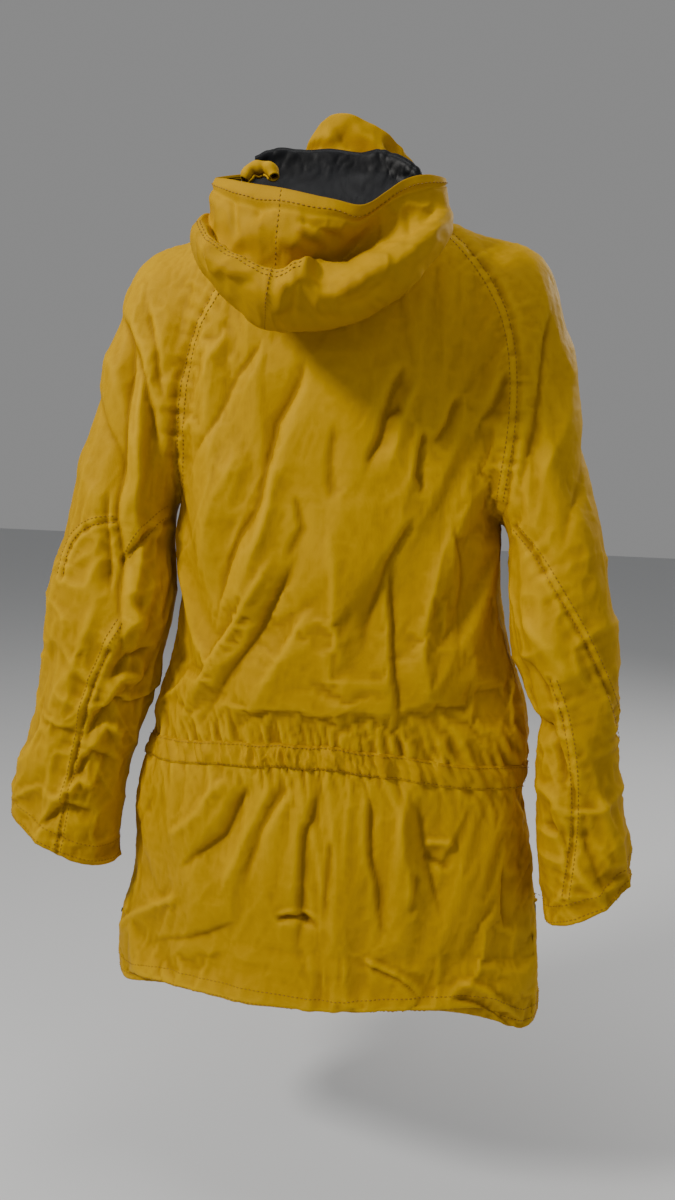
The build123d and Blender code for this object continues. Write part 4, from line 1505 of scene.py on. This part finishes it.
def make_sleeve_stitching(panels):
    """Each sleeve's own seams and its cuff's two rows."""
    for side, name in SIDES:
        skin = Skin(panels[f"{name}_sleeve"])
        runs = []
        for line in ELBOW_SEAMS[side]:
            line = catmull(line, 50)
            for off in (-3.2, 3.2):
                runs.append(skin.along_y(shifted(line, off), 1))
        (outer_x, outer_z), (inner_x, inner_z) = CUFFS[side]
        slope = (outer_z - inner_z) / (outer_x - inner_x)
        centre = (side * (outer_x + inner_x) / 2, 22.0)
        for up in (4.0, 21.0):
            def height(angle, up=up):
                x = side * centre[0] + side * 52 * math.cos(angle)
                return inner_z + slope * (x - inner_x) + up
            runs.append(ring_points(skin, centre, height, 0, 2 * np.pi, 420))
        thread = stitch_mesh(f"{name}_sleeve_stitching", runs)
        dress(thread, "thread")
        ride_sleeve(thread)


# ---------------------------------------------------------------- collar
def make_collar():
    """A soft standing collar, peaked at the nape and folded over on the wearer's right."""
    columns, rows = 150, 15
    angles = np.linspace(-np.pi / 2 + 0.12, 3 * np.pi / 2 - 0.12, columns)
    # Height of the top edge round the neck: angle in degrees from the wearer's left, then mm.
    tops = [
        (-83, 6), (-40, 6), (0, 2), (35, 6), (58, 14), (72, 32), (84, 45), (95, 49),
        (106, 46), (122, 38), (138, 28), (152, 17), (166, 6), (180, 0), (220, 4), (263, 6),
    ]
    degrees = np.degrees(angles)
    top = np.interp(degrees, [a for a, _ in tops], [h for _, h in tops])
    top = np.convolve(np.pad(top, 4, mode="edge"), np.ones(9) / 9, mode="valid")
    grid = np.zeros((rows, columns, 3))
    for row in range(rows):
        t = row / (rows - 1)
        z = NECK_Z - 6 + (top + 6 - NECK_Z) * t
        right = np.cos(angles) < 0
        lean = 1 + np.where(right, 0.16 * t - 0.10 * t * t, -0.34 * t)
        middle = (60 + FRONT_AT_NECK_Y) / 2 + 3 * t
        x = 75 * lean * np.cos(angles)
        y = middle + (69 - 9 * t) * np.sin(angles)
        grid[row] = np.stack([x, y, z], axis=1)
    p = grid.reshape(-1, 3)
    out = np.stack([p[:, 0], p[:, 1] + 8, np.zeros(len(p))], axis=1)
    out /= np.linalg.norm(out, axis=1)[:, None]
    folds = [
        ([(30, 18), (18, 24), (4, 26), (-6, 31)], 5, 4, 8),
        ([(30, 14), (14, 18), (0, 18)], -4, 5, 5),
        ([(-2, 34), (-12, 22), (-26, 12), (-44, 5)], -7, 5, 8),
        ([(-20, 38), (-36, 26), (-50, 14), (-62, 6)], 5, 7, 6),
        ([(-46, 24), (-56, 12), (-68, 2), (-80, -8)], -9, 3, 6),
        ([(26, 2), (4, 0), (-24, -2)], 3, 5, 6),
    ]
    back = smoothstep(p[:, 1], 10, 40)
    height = back * fold_field(p, folds)
    height = height + 1.6 * crumple(p, (15, 20, 14), 151) + 1.4 * value_noise(p, (24, 30, 18), 155)
    foot = smoothstep(p[:, 2], NECK_Z - 2, NECK_Z + 10)
    p = p + out * (height * foot)[:, None]
    grid = p.reshape(rows, columns, 3)
    ways = out.reshape(rows, columns, 3)
    lip = np.stack([grid[-1] + [0, 0, 0.8] - ways[-1] * 1.2, grid[-1] - ways[-1] * 2.6 - [0, 0, 1.5]])
    shell = np.concatenate([grid, lip])
    obj = grid_object("collar_cloth", shell)
    lining_grid = grid[::-1] - ways[::-1] * 3.4 - np.array([0, 0, 2.0])
    lining = grid_object("collar_lining_cloth", lining_grid)
    for piece in (obj, lining):
        finer = piece.modifiers.new("finer", "SUBSURF")
        finer.levels = finer.render_levels = 2
        apply_modifiers(piece)
    fix_outward(obj, (0, -8))
    add_fold_wear_and_light(obj, 0.8)
    dress(obj, "shell_cloth")
    dress(lining, "dark_lining")
    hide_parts("collar")
    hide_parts("collar_lining")
    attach(obj, "coat")
    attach(lining, "coat")
    runs = [resample_pair(grid[3] * MM + ways[3] * 0.3 * MM, ways[3])]
    thread = stitch_mesh("collar_stitching", runs)
    dress(thread, "thread")
    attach(thread, "coat")


def resample_pair(places, normals, step=1.0):
    """Points and their normals at even spacing."""
    steps = np.linalg.norm(np.diff(places, axis=0), axis=1) / MM
    travelled = np.concatenate([[0], np.cumsum(steps)])
    at = np.arange(0, travelled[-1], step)
    both = [
        np.stack([np.interp(at, travelled, a[:, k]) for k in range(3)], axis=1)
        for a in (places, normals)
    ]
    return both[0], both[1]


def fix_outward(obj, centre):
    """Turns the faces outward from an upright axis through centre (x, y) in mm."""
    mesh = obj.data
    total = 0.0
    for polygon in mesh.polygons:
        away = polygon.center - Vector((centre[0] * MM, centre[1] * MM, polygon.center.z))
        total += away.dot(polygon.normal) * polygon.area
    if total < 0:
        mesh.flip_normals()


# ---------------------------------------------------------------- hood
# Across the hood from the wearer's left to the right. Each station runs from the rim down the
# outside to the bottom, then up behind to the neck and over the edge of its neck side.
HOOD_STATIONS = [
    [
        (72, 92, -14), (80, 100, -30), (84, 108, -48), (87, 112, -56), (90, 110, -66),
        (86, 102, -78), (80, 96, -66), (74, 92, -44), (66, 86, -20), (60, 86, 0),
    ],
    [
        (80, 138, -30), (83, 148, -47), (84, 148, -64), (88, 158, -66), (95, 160, -78),
        (94, 144, -96), (86, 118, -88), (72, 100, -60), (58, 84, -16), (49, 82, 6),
    ],
    [
        (58, 170, -41), (59, 182, -68), (63, 180, -96), (66, 192, -92), (72, 198, -108),
        (76, 160, -124), (66, 122, -106), (56, 104, -62), (44, 84, -14), (36, 80, 8),
    ],
    [
        (31, 184, -49), (32, 194, -80), (38, 188, -112), (36, 204, -108), (42, 208, -127),
        (52, 164, -147), (44, 124, -120), (34, 106, -64), (26, 84, -16), (20, 79, 6),
    ],
    [
        (7, 190, -54), (8, 198, -84), (13, 188, -120), (10, 206, -119), (12, 212, -143),
        (24, 166, -161), (16, 126, -126), (10, 106, -64), (8, 84, -16), (6, 79, 6),
    ],
    [
        (-16, 192, -60), (-18, 198, -88), (-4, 182, -116), (-15, 207, -110), (-12, 212, -138),
        (-4, 166, -163), (-8, 126, -128), (-8, 106, -64), (-8, 84, -16), (-8, 79, 6),
    ],
    [
        (-38, 190, -64), (-35, 190, -86), (-20, 170, -108), (-24, 190, -112), (-34, 206, -142),
        (-32, 164, -159), (-26, 124, -124), (-22, 106, -64), (-20, 84, -16), (-22, 79, 4),
    ],
    [
        (-57, 186, -66), (-49, 178, -88), (-32, 160, -108), (-48, 194, -114), (-56, 206, -136),
        (-57, 162, -152), (-46, 122, -116), (-38, 106, -62), (-34, 84, -16), (-36, 79, 2),
    ],
    [
        (-72, 176, -55), (-64, 170, -76), (-52, 162, -96), (-70, 194, -106), (-79, 200, -124),
        (-82, 156, -136), (-66, 120, -106), (-54, 104, -60), (-48, 84, -16), (-50, 80, 4),
    ],
    [
        (-85, 164, -43), (-80, 166, -66), (-78, 170, -88), (-88, 188, -99), (-98, 188, -110),
        (-102, 148, -116), (-84, 116, -94), (-68, 102, -56), (-60, 85, -18), (-64, 81, 0),
    ],
    [
        (-101, 148, -35), (-97, 158, -56), (-102, 166, -74), (-109, 172, -82), (-116, 166, -88),
        (-118, 138, -90), (-98, 112, -80), (-80, 100, -52), (-70, 86, -22), (-76, 84, -6),
    ],
    [
        (-114, 124, -32), (-117, 130, -44), (-121, 134, -55), (-124, 134, -60), (-126, 130, -64),
        (-122, 118, -68), (-106, 106, -62), (-90, 98, -46), (-80, 90, -26), (-86, 88, -14),
    ],
    [
        (-100, 96, -24), (-106, 100, -32), (-109, 103, -42), (-110, 104, -46), (-110, 102, -50),
        (-106, 98, -52), (-98, 96, -46), (-92, 93, -38), (-88, 91, -30), (-92, 90, -24),
    ],
]
HOOD_FOLDS = [
    ([(60, -50), (50, -76), (44, -98)], -5, 5, 8),
    ([(36, -56), (30, -70), (26, -84)], -4.5, 4, 6),
    ([(-2, -84), (-22, -88), (-38, -88)], -5, 4, 4),
    ([(-2, -90), (-20, -95), (-38, -96)], 4, 5, 5),
    ([(-6, -104), (-18, -98), (-34, -92)], -4, 5, 5),
    ([(14, -98), (4, -100), (-6, -104)], 3, 6, 6),
    ([(74, -86), (60, -112), (30, -136)], 3, 9, 9),
    ([(20, -130), (40, -134), (60, -122)], -3, 6, 8),
    ([(-12, -128), (-8, -142), (-6, -158)], -4, 5, 7),
    ([(2, -128), (4, -142), (8, -158)], 3.5, 6, 6),
    ([(-40, -136), (-60, -128), (-84, -112)], 4, 8, 8),
    ([(-88, -60), (-96, -76), (-98, -92)], -4, 5, 8),
    ([(-104, -44), (-110, -60), (-108, -80)], -4, 6, 5),
    ([(-30, -150), (-60, -140), (-90, -122)], -3, 7, 7),
]
HOOD_ROWS, HOOD_COLUMNS = 106, 150


def make_hood():
    """The hood thrown back: an open pouch with a tucked tier, a stitched rim and a dark lining."""
    net = np.array(HOOD_STATIONS, float).transpose(1, 0, 2)
    seam_x = np.clip(0.88 * net[-1, :, 0], -68, 62)
    seam_y = -9 + 68 * np.sqrt(1 - (seam_x / 76) ** 2)
    seam = np.stack([seam_x, seam_y, np.minimum(net[-1, :, 2] - 8, -12)], axis=1)
    net = np.concatenate([net, [seam]])
    grid = catmull(net, HOOD_ROWS)
    grid = catmull(grid.transpose(1, 0, 2), HOOD_COLUMNS).transpose(1, 0, 2)
    normal = -grid_normals(grid)
    if (normal[: HOOD_ROWS // 2, :, 1] * 1.0).mean() < 0:
        normal = -normal
    p = grid.reshape(-1, 3)
    rows = np.repeat(np.linspace(0, len(net) - 1, HOOD_ROWS), HOOD_COLUMNS)
    outside = 1 - smoothstep(rows, 4.6, 5.6)
    height = outside * fold_field(p, HOOD_FOLDS)
    height += outside * (2.0 * value_noise(p, (30, 40, 22), 171) + 1.6 * crumple(p, (19, 30, 17), 175))
    height += 0.5 * crumple(p, (8, 12, 8), 179)
    rim_side = smoothstep(rows, 0.25, 0.9)
    height *= 0.25 + 0.75 * rim_side
    casing = 1 - smoothstep(rows, 0.44, 0.53)
    height += 2.4 * casing - 1.2 * np.exp(-(((rows - 0.56) / 0.06) ** 2))
    ends = np.tile(np.linspace(0, 1, HOOD_COLUMNS), HOOD_ROWS)
    height *= smoothstep(ends, 0.0, 0.06) * smoothstep(1 - ends, 0.0, 0.06)
    shaped = p + normal.reshape(-1, 3) * height[:, None]
    shaped = shaped.reshape(grid.shape)
    lip = np.stack([
        shaped[0] - normal[0] * 2.6 - [0, 0, 3.0],
        shaped[0] - normal[0] * 1.2 + [0, 0, 0.7],
    ])
    shell = np.concatenate([lip, shaped])
    obj = grid_object("hood_cloth", shell)
    last = int(9.1 * (HOOD_ROWS - 1) / 10)
    inner = shaped[1:last] - normal[1:last] * 3.0
    lining = grid_object("hood_lining_cloth", inner[::-1])
    for piece in (obj, lining):
        finer = piece.modifiers.new("finer", "SUBSURF")
        finer.levels = finer.render_levels = 1
        apply_modifiers(piece)
    add_fold_wear_and_light(obj, 0.9)
    dress(obj, "shell_cloth")
    dress(lining, "dark_lining")
    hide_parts("hood_left_panel", "hood_right_panel", "hood_brim", "hood_neck_strip")
    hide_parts("hood_lining")
    for piece in (obj, lining):
        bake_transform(piece)
    make_hood_stitching(shaped, normal)
    make_tab()
    return obj


def make_hood_stitching(grid, normal):
    """The rim's row, the middle seam's row and the crossing double row."""
    per_row = (HOOD_ROWS - 1) / 10
    runs = []
    row = int(round(0.40 * per_row))
    runs.append((grid[row, 8:-8] * MM, normal[row, 8:-8]))
    column = int(HOOD_COLUMNS * 4.02 / 12)
    last = int(5 * per_row)
    runs.append((grid[: last, column - 1] * MM, normal[: last, column - 1]))
    crossing = int(3.15 * per_row)
    for off in (0, 2):
        row, part = crossing + off, slice(14, column + 14)
        runs.append((grid[row, part] * MM, normal[row, part]))
    runs = [resample_pair(a, b) for a, b in runs]
    thread = stitch_mesh("hood_stitching", runs, long=2.8)
    dress(thread, "thread")
    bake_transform(thread)


def make_tab():
    """The hood's closing tab, rolled up beside the rim."""
    line = curve_through(
        [(50, 158, -37), (46, 156, -30), (38, 153, -27), (29, 154, -28), (24, 158, -36)], 1.0
    )
    turns = np.linspace(0, 2.1 * np.pi, 42)
    grid = np.zeros((len(line), len(turns), 3))
    for k, centre in enumerate(line):
        forward = line[min(k + 1, len(line) - 1)] - line[max(k - 1, 0)]
        forward /= np.linalg.norm(forward)
        side = np.cross(forward, [0, 1, 0])
        side /= np.linalg.norm(side)
        up = np.cross(side, forward)
        wide = 7.6 + 0.9 * math.sin(k * 0.5) - 3.0 * abs(2 * k / len(line) - 1) ** 3
        for j, turn in enumerate(turns):
            radius = wide * (0.55 + 0.45 * turn / turns[-1])
            grid[k, j] = centre + side * radius * math.cos(turn) * 0.85 + up * radius * math.sin(turn)
    p = grid.reshape(-1, 3)
    rumple = np.stack([value_noise(p, 9.0, s) for s in (201, 202, 203)], axis=1)
    grid = (p + rumple * 0.9).reshape(grid.shape)
    obj = grid_object("hood_tab", grid)
    obj.modifiers.new("thick", "SOLIDIFY").thickness = 1.4 * MM
    apply_modifiers(obj)
    add_fold_wear_and_light(obj, 0.7)
    dress(obj, "shell_cloth")
    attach(obj, "hood")


# ---------------------------------------------------------------- front: flap, pockets and zip
LEAN = math.atan(FRONT_LEAN)
POCKET = {"x": 114.0, "y": -99.7, "z": -714.0, "turn": math.radians(17.8)}


def front_point(x, z, off):
    """Points in mm, standing off from the front edge's line."""
    x, z, off = np.broadcast_arrays(x, z, off)
    return np.stack([x, front_y(z) - math.cos(LEAN) * off, z + math.sin(LEAN) * off], axis=-1)


def pocket_point(side, across, up, off):
    """Points in mm on one pocket's own plane."""
    turn = POCKET["turn"]
    out = np.array(
        [side * math.sin(turn) * math.cos(LEAN), -math.cos(turn) * math.cos(LEAN), math.sin(LEAN)]
    )
    x_dir = np.array([math.cos(turn), side * math.sin(turn), 0.0])
    y_dir = np.cross(out, x_dir)
    across, up, off = (np.asarray(a, float)[..., None] for a in np.broadcast_arrays(across, up, off))
    centre = np.array([side * POCKET["x"], POCKET["y"], POCKET["z"]])
    return centre + across * x_dir + up * y_dir + off * out


def soft_slab(
    name, place, half_wide, half_high, middle, half_thick,
    corner=6.0, seed=0, ruffle=0.8, counts=(40, 60),
):
    """A flat sewn piece with rounded edges and corners, and its two rows of stitching.

    place(across, up, off) gives points in mm. middle(u, v) is how far the mid surface stands off,
    for u and v from -1 to 1.
    """
    columns, rows = counts
    us = np.sin(np.linspace(-np.pi / 2, np.pi / 2, columns)) * 0.35 + np.linspace(-1, 1, columns) * 0.65
    vs = np.sin(np.linspace(-np.pi / 2, np.pi / 2, rows)) * 0.25 + np.linspace(-1, 1, rows) * 0.75

    def points(u, v, face):
        into = np.maximum(0.0, np.abs(v) * half_high - (half_high - corner))
        width = half_wide - corner + np.sqrt(np.maximum(corner**2 - into**2, 0.0))
        across, up = u * width, v * half_high
        rim = np.minimum((1 - np.abs(u)) * half_wide, (1 - np.abs(v)) * half_high)
        thick = half_thick * np.sqrt(np.maximum(0.0, 1 - (1 - np.minimum(rim / 2.2, 1.0)) ** 2))
        q = np.stack([across.ravel(), up.ravel(), np.full(u.size, seed * 100.0)], axis=1)
        calm = np.minimum(1.0, 0.25 + rim / 12.0)
        wave = ruffle * value_noise(q, (26, 30, 50), 211 + seed).reshape(u.shape) * calm
        puckers = crumple(q, (11, 12, 30), 217 + seed).reshape(u.shape)
        wave += 0.5 * ruffle * puckers * np.exp(-rim / 9.0)
        sewn = 0.5 * np.exp(-(((rim - 2.6) / 1.0) ** 2)) + 0.4 * np.exp(-(((rim - 8.6) / 1.1) ** 2))
        return place(across, up, middle(u, v) + wave + face * (thick - sewn * 0.8))

    u, v = np.meshgrid(us, vs)
    grid = np.concatenate([points(u, v, 1), points(u[:, -2:0:-1], v[:, -2:0:-1], -1)], axis=1)
    obj = grid_object(name, grid, closed=True)
    bmesh_clean(obj)
    runs = []
    for inset in (2.6, 8.6):
        a, b = half_wide - inset, half_high - inset
        x, y = resample([(-a, -b), (a, -b), (a, b), (-a, b), (-a, -b)], 1.0).T
        places = points(x / half_wide, y / half_high, 1)
        runs.append((places * MM, place(x, y, 1.0 + 0 * x) - place(x, y, 0 * x)))
    return obj, runs


def bmesh_clean(obj):
    """Merges doubled points and turns all faces outward."""
    work = bmesh.new()
    work.from_mesh(obj.data)
    bmesh.ops.remove_doubles(work, verts=work.verts, dist=0.02 * MM)
    bmesh.ops.dissolve_degenerate(work, edges=work.edges, dist=0.005 * MM)
    bmesh.ops.recalc_face_normals(work, faces=work.faces)
    work.to_mesh(obj.data)
    work.free()
    obj.data.shade_smooth()


def finish_slab(obj, runs, body, node, material="shell_cloth"):
    add_fold_wear_and_light(obj, 0.6, 5)
    dress(obj, material)
    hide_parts(node)
    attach(obj, body)
    if runs:
        thread = stitch_mesh(f"{node}_stitching", runs)
        dress(thread, "thread")
        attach(thread, body)


def ramp_strip(name, line, place, half_long, node, seed, steps=90):
    """A strip that joins a flap to the coat. line is its cross section as (across, off) in mm."""
    profile = curve_through(line, 1.6)
    along, row = np.meshgrid(np.linspace(-half_long, half_long, steps), np.arange(len(profile)))
    q = np.stack([along.ravel(), row.ravel() * 0.0, np.full(along.size, seed * 50.0)], axis=1)
    wave = 0.5 * value_noise(q, (16, 20, 20), 231 + seed).reshape(along.shape)
    free = np.minimum(1.0, (len(profile) - 1 - row) / 4)
    grid = place(profile[row, 0], along, profile[row, 1] + wave * free)
    obj = grid_object(name, grid)
    obj.modifiers.new("thick", "SOLIDIFY").thickness = 2.0 * MM
    apply_modifiers(obj)
    bmesh_clean(obj)
    finish_slab(obj, None, "coat", node)


def make_front():
    """The storm flap, the two pockets with their flaps, the zip's tapes and the hanging loop."""
    top, bottom = -44.0, -724.0
    centre, half = (top + bottom) / 2, (top - bottom) / 2
    flap, runs = soft_slab(
        "storm_flap_cloth",
        lambda a, b, o: front_point(3.0 + a, centre + b * math.cos(LEAN), o),
        35.0, half, lambda u, v: 12.2, 2.2, 5.0, 1, 0.5, (34, 190),
    )
    finish_slab(flap, runs, "storm_flap", "storm_flap")
    ramp_strip(
        "storm_flap_root_cloth", [(60, -3.5), (53, 1.0), (46, 7.5), (41.5, 11.6), (38.5, 12.6)],
        lambda a, b, o: front_point(a, centre + b * math.cos(LEAN), o),
        half - 1, "storm_flap_root", 1, 170,
    )
    for side, name in SIDES:
        number = 2 if side == 1 else 3
        bag, runs = soft_slab(
            f"{name}_pocket_cloth",
            lambda a, b, o, side=side: pocket_point(side, a, b, o),
            58.0, 86.0,
            lambda u, v: 3.2 - 4.0 * u * u + 1.2 * np.cos(u * 2.2) * (1 - v * v),
            8.0, 9.0, number, 1.3, (56, 70),
        )
        finish_slab(bag, runs, "coat", f"{name}_pocket")
        cover, runs = soft_slab(
            f"{name}_pocket_flap_cloth",
            lambda a, b, o, side=side: pocket_point(side, a, 59.0 + b, o),
            61.0, 31.0, lambda u, v: 17.3, 1.35, 7.0, number + 4, 0.35, (56, 36),
        )
        finish_slab(cover, runs, f"{name}_pocket_flap", f"{name}_pocket_flap")
        ramp_strip(
            f"{name}_pocket_flap_root_cloth",
            [(112, -7), (104, 0), (98, 8), (93.5, 14.5), (90.6, 17.4)],
            lambda a, b, o, side=side: pocket_point(side, b, a, o),
            60.0, f"{name}_pocket_flap_root", number + 2,
        )
        low, high = -716.0, 4.0
        tape, runs = soft_slab(
            f"zip_tape_{name}_cloth",
            lambda a, b, o, side=side: front_point(
                side * 9.75 + a, (low + high) / 2 + b * math.cos(LEAN), o
            ),
            6.25, (high - low) / 2, lambda u, v: 0.85, 0.45, 1.0, number + 8, 0.12, (10, 240),
        )
        finish_slab(tape, None, "coat", f"zip_tape_{name}", "zip_tape")
    line = curve_through([(-33, 60), (-30, 49), (-24, 42), (0, 40), (24, 42), (30, 49), (33, 60)], 1.5)
    rows = np.linspace(-20, -12, 7)
    grid = np.array([
        [
            (x, y - 0.5 * math.sin((z + 20) / 8 * np.pi), z - 2 * math.cos(x / 33 * 1.4))
            for x, y in line
        ]
        for z in rows
    ])
    loop = grid_object("hang_loop_tape", grid)
    loop.modifiers.new("thick", "SOLIDIFY").thickness = 1.2 * MM
    apply_modifiers(loop)
    dress(loop, "strap_tape")
    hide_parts("hang_loop")
    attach(loop, "coat")


# ---------------------------------------------------------------- materials on the metal pieces
KEPT = {
    "zip_teeth_left": "zip_metal",
    "zip_teeth_right": "zip_metal",
    "zip_top_stops": "zip_metal",
    "zip_box": "zip_metal",
    "zip_slider": "zip_slider_metal",
    "zip_pull": "zip_slider_metal",
    "storm_flap_snaps": "snap_cap",
    "storm_flap_studs": "snap_metal",
    "left_pocket_snaps": "snap_cap",
    "right_pocket_snaps": "snap_cap",
    "left_pocket_studs": "snap_metal",
    "right_pocket_studs": "snap_metal",
    "waist_eyelets": "snap_metal",
}


def finish_metal():
    for node, material in KEPT.items():
        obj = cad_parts[node]
        for place in obj.material_slots:
            place.material = MATERIALS[material]


make_camera()
make_stage()
MATERIALS = make_materials()
PANELS, SKIN, BODY_SKIN = make_coat()
make_casing(BODY_SKIN)
make_body_stitching(SKIN, BODY_SKIN)
make_sleeve_stitching(PANELS)
make_collar()
make_hood()
make_front()
finish_metal()
